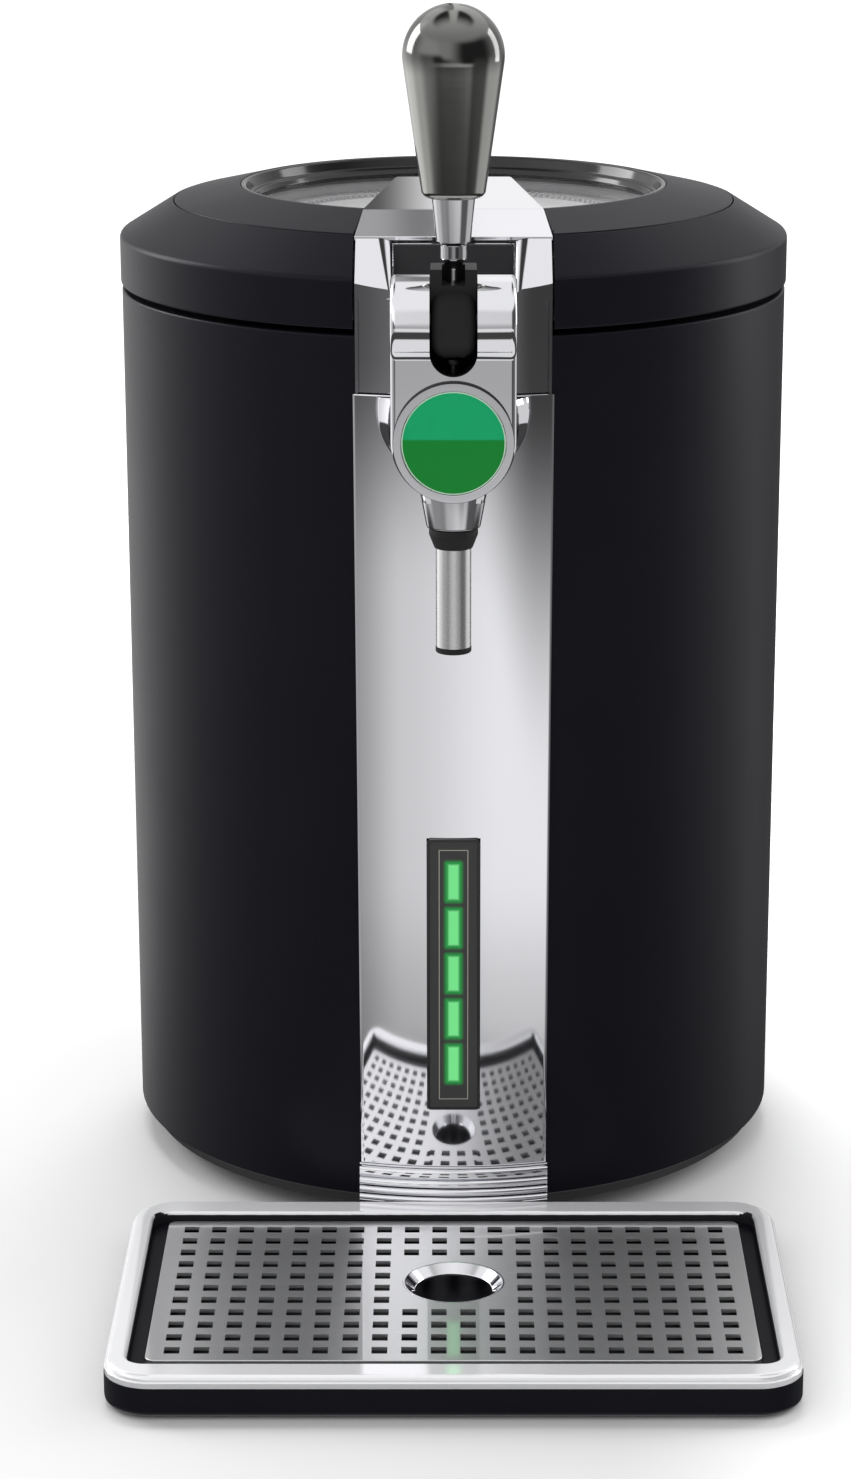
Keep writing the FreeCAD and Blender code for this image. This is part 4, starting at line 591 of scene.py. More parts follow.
def notch():
    """The room for the tap's housing in the lid's front."""
    return block(-NOTCH_HALF, NOTCH_HALF, -LID_R - PAST, NOTCH_BACK, NOTCH_LOW, CUT_HIGH)


def trim_plan(play, low, high=CUT_HIGH):
    """The lid trim's plan: a strip that narrows to a rounded back end."""
    front, back = trim_low[1] - play, trim_high[1] + play
    half_front, half_back = trim_high[0] + play, TRIM_BACK_HALF + play
    return prism(rounded([(-half_front, front), (half_front, front), (half_back, back, TRIM_CORNER),
                          (-half_back, back, TRIM_CORNER)]), "z", low, high)


ledge_r = SEAM_R - LEDGE_W
ledge_z = SEAM_Z - RING_T + LEDGE_W * RING_SLOPE - SEAM_PLAY
shoulder = solid("lid_shoulder", turned(rounded(
    [(LID_R - LID_WALL, LID_BOTTOM), (LID_R, LID_BOTTOM, 0.9), (LID_R, SHOULDER_Z, 2.6),
     (SEAM_R + SEAM_GAP, SEAM_Z + 0.06, 0.5), (SEAM_R + SEAM_GAP, SEAM_Z - RING_T - SEAM_PLAY),
     (ledge_r, ledge_z), (ledge_r, ledge_z - LEDGE_T),
     (SEAM_R, SEAM_Z - RING_T - SEAM_PLAY - LEDGE_T),
     (LID_R - LID_WALL, SHOULDER_Z - 2.2, 2.0)]), steps=SHELL_STEPS))
combine(shoulder, notch(), trim_plan(MOVING_PLAY, WINDOW_TOP),
        block(-EAR_HALF, EAR_HALF, EAR_FRONT, LID_R + PAST, LID_BOTTOM - 1, EAR_TOP))
fit(ease(shoulder, 0.35, 2, 40), soft_black, "lid", "lid_shell", slot="satin_black")

ring = solid("lid_top_ring", turned(rounded(
    [(SEAM_R, SEAM_Z, 0.6), (RING_INNER_R, RING_TOP, 0.9), (RING_INNER_R, RING_TOP - RING_T),
     (SEAM_R, SEAM_Z - RING_T)]), steps=SHELL_STEPS))
combine(ring, trim_plan(MOVING_PLAY + 0.2, CUT_LOW), notch())
fit(ease(ring, 0.35, 2, 40), soft_black, "lid", "lid_ring", slot="satin_black")

BEAD_W = 6.9
# How far each corner of the bead is in from its outer edge and below the ring, and its rounding.
BEAD_CORNERS = ((0, 0.4, 0.4), (1.8, 0.1, 1.2), (3.7, 4.9, 1.6), (5.6, 4.9, 1), (BEAD_W, 6.9, 0.6))
bead_r = RING_INNER_R - SEAM_PLAY
bead_outline = [(bead_r - inset, RING_TOP - drop, r) for inset, drop, r in BEAD_CORNERS]
bead = solid("window_bead", turned(rounded(
    [(bead_r, WINDOW_TOP), *bead_outline, (bead_r - BEAD_W, WINDOW_TOP)], 6), steps=SHELL_STEPS))
combine(bead, trim_plan(MOVING_PLAY, CUT_LOW))
fit(shade(bead), gloss_black, "lid", "lid_lip", slot="gloss_black")

GLASS_T = 2.0
GLASS_STEPS = 192
smoked = Finish("smoked_window", (0.40, 0.40, 0.41), 0.04, Alpha=0.14, Specular_IOR_Level=0.4)
smear = smoked.noise(18, 3)
smoked.set("Roughness", 0.02 + smear * 0.05)
smoked.set("Alpha", 0.12 + smear * 0.04)
glass = solid("smoked_glass", turned(rounded(
    [(0, WINDOW_TOP - GLASS_T), (bead_r, WINDOW_TOP - GLASS_T), (bead_r, WINDOW_TOP),
     (0, WINDOW_TOP)]), steps=GLASS_STEPS))
fit(shade(glass), smoked, "lid", "lid_window", slot="window_grey")

deck_high = reach("ribbed_disc")[1]
DECK_TOP = deck_high[2] - 5.0
DECK_T = 2.0
RIB_COUNT = 150
RIB_LENGTH = 13.0
RIB_WIDTH = 1.3
RIB_HEIGHT = 1.4


class GeometryTree:
    """A geometry node tree that changes a mesh, with its counts and sizes as named inputs."""

    def __init__(self, name, mesh, counts, sizes):
        self.tree = bpy.data.node_groups.new(name, "GeometryNodeTree")
        kinds = {mesh: "Geometry", **dict.fromkeys(counts, "Int"), **dict.fromkeys(sizes, "Float")}
        face = self.tree.interface
        for socket, kind in kinds.items():
            face.new_socket(socket, in_out="INPUT", socket_type="NodeSocket" + kind)
        face.new_socket(mesh, in_out="OUTPUT", socket_type="NodeSocketGeometry")
        self.given = self.tree.nodes.new("NodeGroupInput").outputs

    def link(self, output, socket):
        self.tree.links.new(output, socket)

    def node(self, kind, settings=None, inputs=None):
        """Adds a node with its settings and inputs, and returns its outputs."""
        made = self.tree.nodes.new(kind)
        for key, value in (settings or {}).items():
            setattr(made, key, value)
        for key, value in (inputs or {}).items():
            if isinstance(value, bpy.types.NodeSocket):
                self.link(value, made.inputs[key])
            else:
                made.inputs[key].default_value = value
        return made.outputs

    def maths(self, operation, *terms):
        return self.node("ShaderNodeMath", {"operation": operation}, dict(enumerate(terms)))[0]

    def point(self, **axes):
        return self.node("ShaderNodeCombineXYZ", inputs=axes)[0]

    def end(self, shape, finish):
        """Makes copies real, gives the mesh a finish, and sends it out."""
        real = self.node("GeometryNodeRealizeInstances", inputs={"Geometry": shape})
        done = self.node("GeometryNodeSetMaterial",
                         inputs={"Geometry": real[0], "Material": finish.material})
        self.link(done[0], self.tree.nodes.new("NodeGroupOutput").inputs[0])

    def grow(self, piece, **values):
        """Runs the tree on a piece with its named inputs, and keeps the result as plain mesh."""
        step = piece.modifiers.new(self.tree.name, "NODES")
        step.node_group = self.tree
        for socket in self.tree.interface.items_tree:
            if socket.in_out == "INPUT" and socket.name in values:
                step[socket.identifier] = values[socket.name]
        settle(piece)


def rib_tree(finish):
    """A tree that stands ribs in a circle round a vertical axis, on the given deck."""
    tree = GeometryTree("deck_ribs", "Deck", ("Ribs",),
                        ("Radius", "Length", "Width", "Height", "Base", "Centre"))
    given, node = tree.given, tree.node
    circle = node("GeometryNodeMeshCircle",
                  inputs={"Vertices": given["Ribs"], "Radius": given["Radius"]})
    where = tree.point(Y=given["Centre"], Z=given["Base"])
    spots = node("GeometryNodeTransform", inputs={"Geometry": circle[0], "Translation": where})
    size = tree.point(X=given["Length"], Y=given["Width"], Z=given["Height"])
    rib = node("GeometryNodeMeshCube", inputs={"Size": size})
    place = node("GeometryNodeInputPosition")
    outward = node("ShaderNodeVectorMath", {"operation": "SUBTRACT"}, {0: place[0], 1: where})
    turn = node("FunctionNodeAlignRotationToVector", {"axis": "X"}, {"Vector": outward[0]})
    copies = node("GeometryNodeInstanceOnPoints",
                  inputs={"Points": spots[0], "Instance": rib[0], "Rotation": turn[0]})
    both = node("GeometryNodeJoinGeometry")
    for shape in (given["Deck"], copies[0]):
        tree.link(shape, both[0].node.inputs[0])
    tree.end(both[0], finish)
    return tree


deck_grey = moulded("deck_grey", (0.44, 0.44, 0.445), 0.45, 1000, 0.00003)
deck = solid("window_deck", turned(
    [(0, DECK_TOP - DECK_T), (bead_r, DECK_TOP - DECK_T), (bead_r, deck_high[2]),
     (bead_r - DECK_T, deck_high[2]), (bead_r - DECK_T, DECK_TOP), (0, DECK_TOP)],
    steps=GLASS_STEPS))
rib_tree(deck_grey).grow(
    deck, Ribs=RIB_COUNT, Radius=(bead_r - DECK_T - RIB_LENGTH / 2) * MM, Length=RIB_LENGTH * MM,
    Width=RIB_WIDTH * MM, Height=RIB_HEIGHT * 2 * MM, Base=DECK_TOP * MM, Centre=AXIS)
fit(shade(deck), deck_grey, "lid", "ribbed_disc", slot="deck_grey")

TRIM_EDGE = 1.4
TRIM_BACK_R = 3.4
TRIM_SLAB_HALF = 60.0
KNEE_Y, KNEE_R = -87.5, 14.0
trim = solid("lid_chrome_trim", prism(rounded(
    [(trim_low[1], trim_low[2]), (trim_low[1], trim_low[2] + TRIM_EDGE, 0.3),
     (KNEE_Y, trim_high[2], KNEE_R), (trim_high[1], trim_high[2], TRIM_BACK_R),
     (trim_high[1], trim_low[2])], 12), "x", -TRIM_SLAB_HALF, TRIM_SLAB_HALF))
combine(trim, trim_plan(0, CUT_LOW), operation="INTERSECT")
fit(ease(trim, 0.45), chrome, "lid", "lid_trim", slot="polished_chrome")

liner_grey = moulded("liner_grey", (0.22, 0.225, 0.235), 0.42, 900, 0.00003)
fit_cad("lid_liner", 0.6, liner_grey, "lid", "liner_grey")
dress(foam, "lid_foam")
fit_cad("lid_seal", 0.3, rubber, "lid", "rubber")
fit_cad("lid_hinge_arm", 0.5, pan_black, "lid", "matte_black")
fit_cad("hinge_bracket", 0.5, pan_black, "cabinet", "matte_black")
fit_cad("hinge_pin", 0.4, zinc, "cabinet", "zinc_steel")


# ---- Tap housing, tap and badge ----
# Two chrome cheeks stand in the lid's notch with a black plate between them. The tap is one chromed
# casting: a barrel with a slot for the lever, a flat front plate, a neck and a flaring pedestal.

SCOOP_TOP = BODY_TOP + 15.0
CHEEK_INNER, CHEEK_OUTER = 23.7, 37.2
CHEEK_SET_BACK = 1.2
CHEEK_STEPS = 12
PAD_ROUNDING = 6.5


def cheek_floor(side, thickness, low, high):
    """The bottom of the hollow in one cheek. It follows the wall's curve."""
    far = PANEL_R - CHEEK_SET_BACK
    there = range(CHEEK_STEPS + 1)
    plan = []
    for radius, steps in ((far, there), (far - thickness, reversed(there))):
        for i in steps:
            x = CHEEK_INNER + (CHEEK_OUTER - CHEEK_INNER) * i / CHEEK_STEPS
            plan.append((side * x, -math.sqrt(radius ** 2 - x ** 2)))
    return prism(plan, "z", low, high)


def round_pads(piece):
    """A large rounding on the inner edge of each slanted pad."""
    mesh = bmesh.new()
    mesh.from_mesh(piece.data)
    mesh.normal_update()
    edges = []
    for edge in mesh.edges:
        inside = all(abs(v.co.x) < (CHEEK_INNER + 0.1) * MM for v in edge.verts)
        if len(edge.link_faces) == 2 and inside:
            slants = [f for f in edge.link_faces if f.normal.z > 0.6 and -0.8 < f.normal.y < -0.2]
            walls = [f for f in edge.link_faces if abs(f.normal.x) > 0.9]
            if slants and walls:
                edges.append(edge)
    bmesh.ops.bevel(mesh, geom=edges, offset=PAD_ROUNDING * MM, segments=10, profile=0.5,
                    affect="EDGES")
    mesh.to_mesh(piece.data)
    mesh.free()
    return piece


housing = from_cad("tap_housing")
# The thickness of each floor in a cheek, and the heights that it runs between.
FLOORS = ((1.0, housing_low[2] + 0.4, BODY_TOP + 0.8), (9.0, BODY_TOP + 0.4, SCOOP_TOP + 0.6))
for side in (-1, 1):
    combine(housing, *(cheek_floor(side, *sizes) for sizes in FLOORS), operation="UNION")
fit(ease(round_pads(housing), 0.6), chrome, "cabinet", "tap_housing", slot="polished_chrome")
fit_cad("housing_backing", 0.3, fan_black, "cabinet", "matte_black")

bezel_low, bezel_high = reach("badge_bezel")
disc_low, disc_high = reach("badge_disc")
tube_low, tube_high = reach("spout_tube")
tap_low = reach("tap_body")[0]
BADGE_R = bezel_high[0]
BADGE_Z = (bezel_low[2] + bezel_high[2]) / 2
BADGE_STEPS = 160
DISC_R = disc_high[0]
SPOUT_Y = (tube_low[1] + tube_high[1]) / 2
NECK_LOW = tap_low[2]
NECK_HIGH = BADGE_Z - 21.6
NECK_HALF_LOW, NECK_HALF_HIGH = 10.4, 12.6
NECK_DEPTH = 9.4
NECK_RUN_IN = 2.4
NECK_STEPS = 96
# The rounding at the neck's foot: how far up each level is, and how far it is drawn in.
NECK_FOOT = ((0.0, 0.8), (0.3, 0.2), (0.8, 0.0))
NECK_ROOM_HALF = 13.0
NECK_ROOM_FRONT, NECK_ROOM_BACK = SPOUT_Y - 20.0, SPOUT_Y + 12.7
NECK_ROOM_TOP = BADGE_Z - 23.6
SLOT_HALF = 8.9
SLOT_BOTTOM = 365.3


def neck_row(z, half, depth):
    """A level of the neck: an ellipse, wider than it is deep."""
    row = []
    for i in range(NECK_STEPS):
        a = math.tau * i / NECK_STEPS
        row.append((half * math.cos(a), SPOUT_Y + depth * math.sin(a), z))
    return row


def paint_shade_on_faces(piece, finish, covers):
    """Paints shade: gives a second, dark finish to faces with every corner in a place, given in mm.
    """
    piece.data.materials.append(finish.material)
    for face in piece.data.polygons:
        corners = [piece.data.vertices[i].co for i in face.vertices]
        if all(covers(p.x / MM, (p.y - AXIS) / MM, p.z / MM) for p in corners):
            face.material_index = 1


tap = from_cad("tap_body")
combine(tap, block(-NECK_ROOM_HALF, NECK_ROOM_HALF, NECK_ROOM_FRONT, NECK_ROOM_BACK, NECK_LOW - 1,
                   NECK_ROOM_TOP))
flare = (NECK_HALF_HIGH - NECK_HALF_LOW) / (NECK_HIGH - NECK_LOW - NECK_FOOT[-1][0])
neck_rows = [neck_row(NECK_LOW + rise, NECK_HALF_LOW - inset, NECK_DEPTH - inset)
             for rise, inset in NECK_FOOT]
neck_rows += [neck_row(NECK_HIGH + rise, NECK_HALF_HIGH + flare * rise, NECK_DEPTH)
              for rise in (0.0, NECK_RUN_IN)]
neck = solid("tap_neck", loops(neck_rows, closed_rows=False, caps=True))
badge_room = [(0, NECK_ROOM_FRONT), (BADGE_R + 0.1, NECK_ROOM_FRONT),
              (BADGE_R + 0.1, bezel_high[1] + 0.1), (0, bezel_high[1] + 0.1)]
combine(neck, turned(badge_room, 0, BADGE_Z, BADGE_STEPS, "y"))
# The neck and the lever's stem take a darker copy of the mirror chrome: painted shade.
shaded_chrome = polished("shaded_chrome", (0.55, 0.55, 0.57), 0.05)
fit(shade(neck), shaded_chrome, "cabinet", slot="polished_chrome")
fit(ease(tap, 0.35, 2), chrome, "cabinet", "tap_body", slot="polished_chrome")
# Painted shade: the faces inside the lever's slot take the black pan finish.
paint_shade_on_faces(tap, pan_black, lambda x, y, z: abs(x) < SLOT_HALF + 0.05 and z > SLOT_BOTTOM - 0.1)

BEZEL_SLOPE = 0.15
badge_chrome = polished("badge_chrome", (0.68, 0.68, 0.71), 0.10)
bezel = solid("badge_ring", turned(rounded(
    [(0, bezel_high[1]), (BADGE_R, bezel_high[1]), (BADGE_R, bezel_low[1] + BEZEL_SLOPE),
     (BADGE_R - BEZEL_SLOPE, bezel_low[1]), (DISC_R + 0.1, bezel_low[1], 0.25),
     (DISC_R + 0.1, disc_high[1]), (0, disc_high[1])]), 0, BADGE_Z, BADGE_STEPS, "y"))
fit(shade(bezel), badge_chrome, "cabinet", "badge_bezel", slot="badge_chrome")
# Painted shadow: the bezel's outer edge takes the black rubber finish as a thin dark line round it.
paint_shade_on_faces(bezel, rubber,
              lambda x, y, z: math.hypot(x, z - BADGE_Z) > BADGE_R - 0.1 - BEZEL_SLOPE)

BADGE_UPPER = (0.001, 0.345, 0.125)
BADGE_LOWER = (0.001, 0.205, 0.022)
BADGE_MOTTLE = (0.0, 0.12, 0.03)
BADGE_EDGE = (0.48, 0.66, 0.52)
BADGE_SPLIT = BADGE_Z + 1.4
EDGE_LINE = 0.55
enamel = Finish("green_enamel", BADGE_UPPER, 0.36, Specular_IOR_Level=0.15, Coat_Weight=0.08,
                Coat_Roughness=0.05)
upper = enamel.smooth(enamel.axis("Z"), (BADGE_SPLIT - 0.5) * MM, (BADGE_SPLIT + 0.5) * MM)
offset = enamel.node("Mapping", inputs={"Vector": enamel.at, "Location": (0, 0, -BADGE_Z * MM),
                                        "Scale": (1, 0, 1)})
radius = enamel.node("VectorMath", {"operation": "LENGTH"}, {0: offset}, output="Value")
rim_line = radius > (DISC_R - EDGE_LINE) * MM
mottle = enamel.noise(160, 3)
ground = enamel.blend(upper, BADGE_LOWER, BADGE_UPPER)
ground = enamel.blend(mottle * 0.12, ground, BADGE_MOTTLE)
enamel.set("Base Color", enamel.blend(rim_line, ground, BADGE_EDGE))
enamel.set("Roughness", 0.34 + mottle * 0.08)
disc = solid("badge_face", turned(rounded(
    [(0, disc_high[1]), (DISC_R, disc_high[1]), (DISC_R, disc_low[1] + 0.3, 0.3),
     (0, disc_low[1])]), 0, BADGE_Z, BADGE_STEPS, "y"))
fit(shade(disc), enamel, "cabinet", "badge_disc", slot="badge_green")


# ---- Spout ----
# A drawn stainless tube hangs from the tap's neck, held in a black rubber collar. A rubber tip
# covers its cut end.

brushed = Finish("drawn_steel", (0.80, 0.80, 0.80), 0.26, 1.0)
lines = brushed.noise(60, 3, (12, 12, 0.6))
rings = brushed.noise(500, 2, (0.1, 0.1, 6))
brushed.set("Roughness", 0.2 + lines * 0.1 + rings * 0.06)
brushed.set("Base Color", brushed.blend(lines, (0.74, 0.74, 0.74), (0.88, 0.88, 0.88)))
brushed.bump(rings, 0.2, 0.00001)

collar_low, collar_high = reach("spout_collar")
tip_low, tip_high = reach("spout_tip")
SPOUT_R = tube_high[0]
SPOUT_BORE_R = 5.2
COLLAR_R = collar_high[0]
COLLAR_BORE_R = 3.6
COLLAR_CAP_T = 1.5


def spout_piece(name, outline):
    return shade(solid(name, turned(outline, 0, SPOUT_Y, 96)))


tube = spout_piece("steel_spout", [
    (SPOUT_BORE_R, tube_low[2]), (SPOUT_R, tube_low[2]), (SPOUT_R, tube_high[2]),
    (SPOUT_BORE_R, tube_high[2])])
fit(tube, brushed, "cabinet", "spout_tube", slot="brushed_steel")
collar = spout_piece("spout_boot", rounded([
    (SPOUT_R, collar_low[2]), (SPOUT_R + 0.5, collar_low[2], 0.2),
    (SPOUT_R + 1.0, collar_low[2] + 1.2, 0.8), (COLLAR_R, collar_high[2] - 2.6, 1.4),
    (COLLAR_R, collar_high[2], 1.0), (COLLAR_BORE_R, collar_high[2]),
    (COLLAR_BORE_R, collar_high[2] - COLLAR_CAP_T), (SPOUT_R, collar_high[2] - COLLAR_CAP_T)]))
fit(collar, rubber, "cabinet", "spout_collar", slot="rubber")
tip = spout_piece("spout_end", rounded([
    (SPOUT_BORE_R, tip_low[2], 0.4), (SPOUT_R + 0.1, tip_low[2], 0.7),
    (SPOUT_R + 0.1, tip_high[2], 0.2), (SPOUT_BORE_R, tip_high[2])]))
fit(tip, rubber, "cabinet", "spout_tip", slot="rubber")


# ---- Lever ----
# A black acetal cam turns on a pin in the tap's slot. A chromed stem rises from it to a heavy,
# pear-shaped handle with a darker plating.

pewter = polished("pewter_chrome", (0.36, 0.36, 0.345), 0.10)
acetal = moulded("black_acetal", (0.019, 0.019, 0.019), 0.34, 900, 0.00001, Specular_IOR_Level=0.03)
fit_cad("lever_cam", 1.1, acetal, "lever", "gloss_black", 4)
fit_cad("lever_pin", 0.3, zinc, "cabinet", "zinc_steel")
blackened = polished("blackened_steel", (0.03, 0.03, 0.03), 0.3)
fit_cad("valve_plunger", 0.3, blackened, "plunger", "brushed_steel")

handle_low, handle_high = reach("lever_handle")
stem_low, stem_high = reach("lever_stem")
LEVER_Y = (handle_low[1] + handle_high[1]) / 2
STEM_R = 5.0
STUD_R = 2.8
CAM_TOP = reach("lever_cam")[1][2]
STEP_Z = 414.0
NECK_R, NECK_TOP_R = 6.5, 8.1
stem = solid("chrome_stem", turned(rounded(
    [(0, stem_low[2]), (STUD_R, stem_low[2]), (STUD_R, CAM_TOP - 0.2, 2.6),
     (STEM_R, CAM_TOP + 2.8, 1.8), (STEM_R, STEP_Z - 1.2, 0.8), (NECK_R, STEP_Z, 0.6),
     (NECK_TOP_R, handle_low[2], 0.2), (STEM_R, handle_low[2]), (STEM_R, stem_high[2]),
     (0, stem_high[2])]), 0, LEVER_Y, 96))
# The stem takes the darker copy of the chrome: painted shade.
fit(shade(stem, 50), shaded_chrome, "lever", "lever_stem", slot="polished_chrome")

# A painted dark reflection: the handle's colour darkens round its crown and gets lighter again at
# its very top. The first two numbers are how far below the top it starts and ends to darken, and
# the last where it turns.
CROWN_REFLECTION_DEPTHS = (26.0, 17.0, 13.0)
crown_reflection_z = [(handle_high[2] - down) * MM for down in CROWN_REFLECTION_DEPTHS]
crown_painted_reflection = (pewter.smooth(pewter.axis("Z"), crown_reflection_z[0], crown_reflection_z[1])
         - 0.8 * pewter.smooth(pewter.axis("Z"), crown_reflection_z[2], handle_high[2] * MM))
plating = pewter.blend(pewter.noise(16, 3), (0.345, 0.345, 0.33), (0.36, 0.36, 0.345))
pewter.set("Base Color", pewter.blend(crown_painted_reflection, plating, (0.13, 0.13, 0.127)))

BALL_R = handle_high[0]
BALL_STEPS = 40
HANDLE_BASE_R = 12.2
HANDLE_EDGE_R = 2.8
BORE_R = STEM_R + 0.05
BORE_TOP = handle_low[2] + 30.2
ball_z = handle_high[2] - BALL_R
base_z = handle_low[2] + 5.0
drop = ball_z - base_z
lean = math.atan2(-drop, HANDLE_BASE_R) + math.acos(BALL_R / math.hypot(HANDLE_BASE_R, drop))
outline = rounded([(BORE_R, handle_low[2]), (HANDLE_BASE_R - 0.3, handle_low[2], HANDLE_EDGE_R),
                   (HANDLE_BASE_R, base_z)], 8)[:-1]
for i in range(BALL_STEPS + 1):
    a = lean + (math.pi / 2 - lean) * i / BALL_STEPS
    outline.append((max(BALL_R * math.cos(a), 0.0), ball_z + BALL_R * math.sin(a)))
outline += [(0, BORE_TOP), (BORE_R, BORE_TOP)]
handle = solid("lever_grip", turned(outline, 0, LEVER_Y, 160))
fit(shade(handle, 50), pewter, "lever", "lever_handle", slot="pewter_chrome")


# ---- Drip tray ----
# A black moulded tray with a tongue that slides into the base pan, a polished frame round its top,
# and a loose steel grille that lifts out. Beer drains through the dished hole in its middle.

tray_low, tray_high = reach("tray_base")
rim_low, rim_high = reach("tray_rim")
grille_low, grille_high = reach("tray_grille")
# Half width, front and back: of the tray here, and further down of the opening in its frame.
TRAY = (tray_high[0], tray_low[1], rim_high[1] + 0.2)
TRAY_CORNER = 18.0
CORNER_STEPS = 14


def frame_row(inset, z, corner, edge):
    """A loop with rounded corners, drawn in from an edge of half width, front and back."""
    x, y0, y1 = edge[0] - inset, edge[1] + inset, edge[2] - inset
    plan = rounded([(x, y0, corner), (x, y1, corner), (-x, y1, corner), (-x, y0, corner)],
                   CORNER_STEPS)
    return [(u, v, z) for u, v in plan]


fit_cad("tray_base", 0.9, soft_black, "drip_tray", "satin_black", 3)
fit_cad("tray_feet", 0.2, rubber, "drip_tray", "rubber")

satin = polished("satin_chrome", (0.90, 0.90, 0.92), 0.08)
satin.set("Metallic", 0.42)
RIM_TOP = rim_high[2]
RIM_BOTTOM = rim_low[2]
RIM_ROUNDING = 2.0
RIM_EDGE = 1.0
OPENING = OPEN_HALF, OPEN_FRONT, OPEN_BACK = 121.5, -301.7, -159.7
OPEN_CORNER = 7.0
BAND_LOW = RIM_BOTTOM + 2.35
outside = [(0.2, RIM_BOTTOM), (0.2, BAND_LOW - 0.3), (0.45, BAND_LOW), (RIM_EDGE, BAND_LOW + 0.05)]
for i in range(9):
    a = math.pi / 2 * i / 8
    outside.append((RIM_EDGE + RIM_ROUNDING * (1 - math.cos(a)),
                    RIM_TOP - RIM_ROUNDING + RIM_ROUNDING * math.sin(a)))
rows = [frame_row(inset, z, TRAY_CORNER - inset, TRAY) for inset, z in outside]
for inset, z in ((-1.1, RIM_TOP), (-0.5, RIM_TOP - 0.25), (-0.1, RIM_TOP - 0.8), (0, RIM_TOP - 1.4),
                 (0, RIM_BOTTOM)):
    rows.append(frame_row(inset, z, OPEN_CORNER - inset, OPENING))
rim = solid("tray_frame", loops(rows))
fit(shade(rim), satin, "drip_tray", "tray_rim", slot="polished_chrome")
# Painted shade: the frame's inner wall down into the groove takes the black pan finish.
paint_shade_on_faces(rim, pan_black, lambda x, y, z: (
    abs(x) < OPEN_HALF + 0.05 and OPEN_FRONT - 0.05 < y < OPEN_BACK + 0.05))

GRILLE_TOP = grille_high[2]
GRILLE_T = 1.5
GRILLE_BOTTOM = GRILLE_TOP - GRILLE_T
GRILLE_CORNER = 4.0
GRILLE_EDGE = 0.3
SLOT_COLUMNS, SLOT_ROWS = 20, 11
SLOT_PITCH_X, SLOT_PITCH_Y = 11.12, 11.37
SLOT_W, SLOT_D = 5.9, 5.8
SLOT_CENTRE_Y = (grille_low[1] + grille_high[1]) / 2
HOLE_Y = -220.8
HOLE_R, HOLE_RIM_R = 15.1, 19.6
HOLE_CLEAR_X, HOLE_CLEAR_Y = 1.0, 3.2
HOLE_BOTTOM = GRILLE_BOTTOM - 2.6
HOLE_CUT_TOP = 40.0


def slot_tree(finish):
    """A tree that punches a grid of slots in a plate, leaving out those by the drain hole."""
    tree = GeometryTree("grille_slots", "Plate", ("Columns", "Rows"),
                        ("Pitch X", "Pitch Y", "Slot W", "Slot D", "Centre Y", "Top", "Hole Y",
                         "Clear X", "Clear Y"))
    given, node, maths = tree.given, tree.node, tree.maths
    across = maths("MULTIPLY", maths("SUBTRACT", given["Columns"], 1), given["Pitch X"])
    along = maths("MULTIPLY", maths("SUBTRACT", given["Rows"], 1), given["Pitch Y"])
    grid = node("GeometryNodeMeshGrid", inputs={"Size X": across, "Size Y": along,
                                                "Vertices X": given["Columns"],
                                                "Vertices Y": given["Rows"]})
    where = tree.point(Y=given["Centre Y"], Z=given["Top"])
    spots = node("GeometryNodeTransform", inputs={"Geometry": grid[0], "Translation": where})
    place = node("ShaderNodeSeparateXYZ", inputs={0: node("GeometryNodeInputPosition")[0]})
    near_x = maths("LESS_THAN", maths("ABSOLUTE", place[0]), given["Clear X"])
    off_y = maths("SUBTRACT", place[1], given["Hole Y"])
    near_y = maths("LESS_THAN", maths("ABSOLUTE", off_y), given["Clear Y"])
    kept = maths("SUBTRACT", 1.0, maths("MULTIPLY", near_x, near_y))
    size = tree.point(X=given["Slot W"], Y=given["Slot D"], Z=0.01)
    punch = node("GeometryNodeMeshCube", inputs={"Size": size})
    punches = node("GeometryNodeInstanceOnPoints",
                   inputs={"Points": spots[0], "Selection": kept, "Instance": punch[0]})
    real = node("GeometryNodeRealizeInstances", inputs={"Geometry": punches[0]})
    cut = node("GeometryNodeMeshBoolean", {"operation": "DIFFERENCE", "solver": "EXACT"},
               {"Mesh 1": given["Plate"], "Mesh 2": real[0]})
    tree.end(cut[0], finish)
    return tree


grille_steel = Finish("grille_steel", (0.76, 0.76, 0.77), 0.34, 0.9, Coat_Weight=1.0,
                      Coat_Roughness=0.03, Coat_IOR=2.4)
grain = grille_steel.noise(45, 3, (1, 30, 1))
fine = grille_steel.noise(160, 2, (1, 14, 1))
grille_steel.set("Roughness", 0.29 + grain * 0.08 + fine * 0.06)
grille_steel.set("Base Color", grille_steel.blend(fine, (0.74, 0.74, 0.75), (0.86, 0.86, 0.87)))
grille_steel.bump(fine, 0.12, 0.00001)

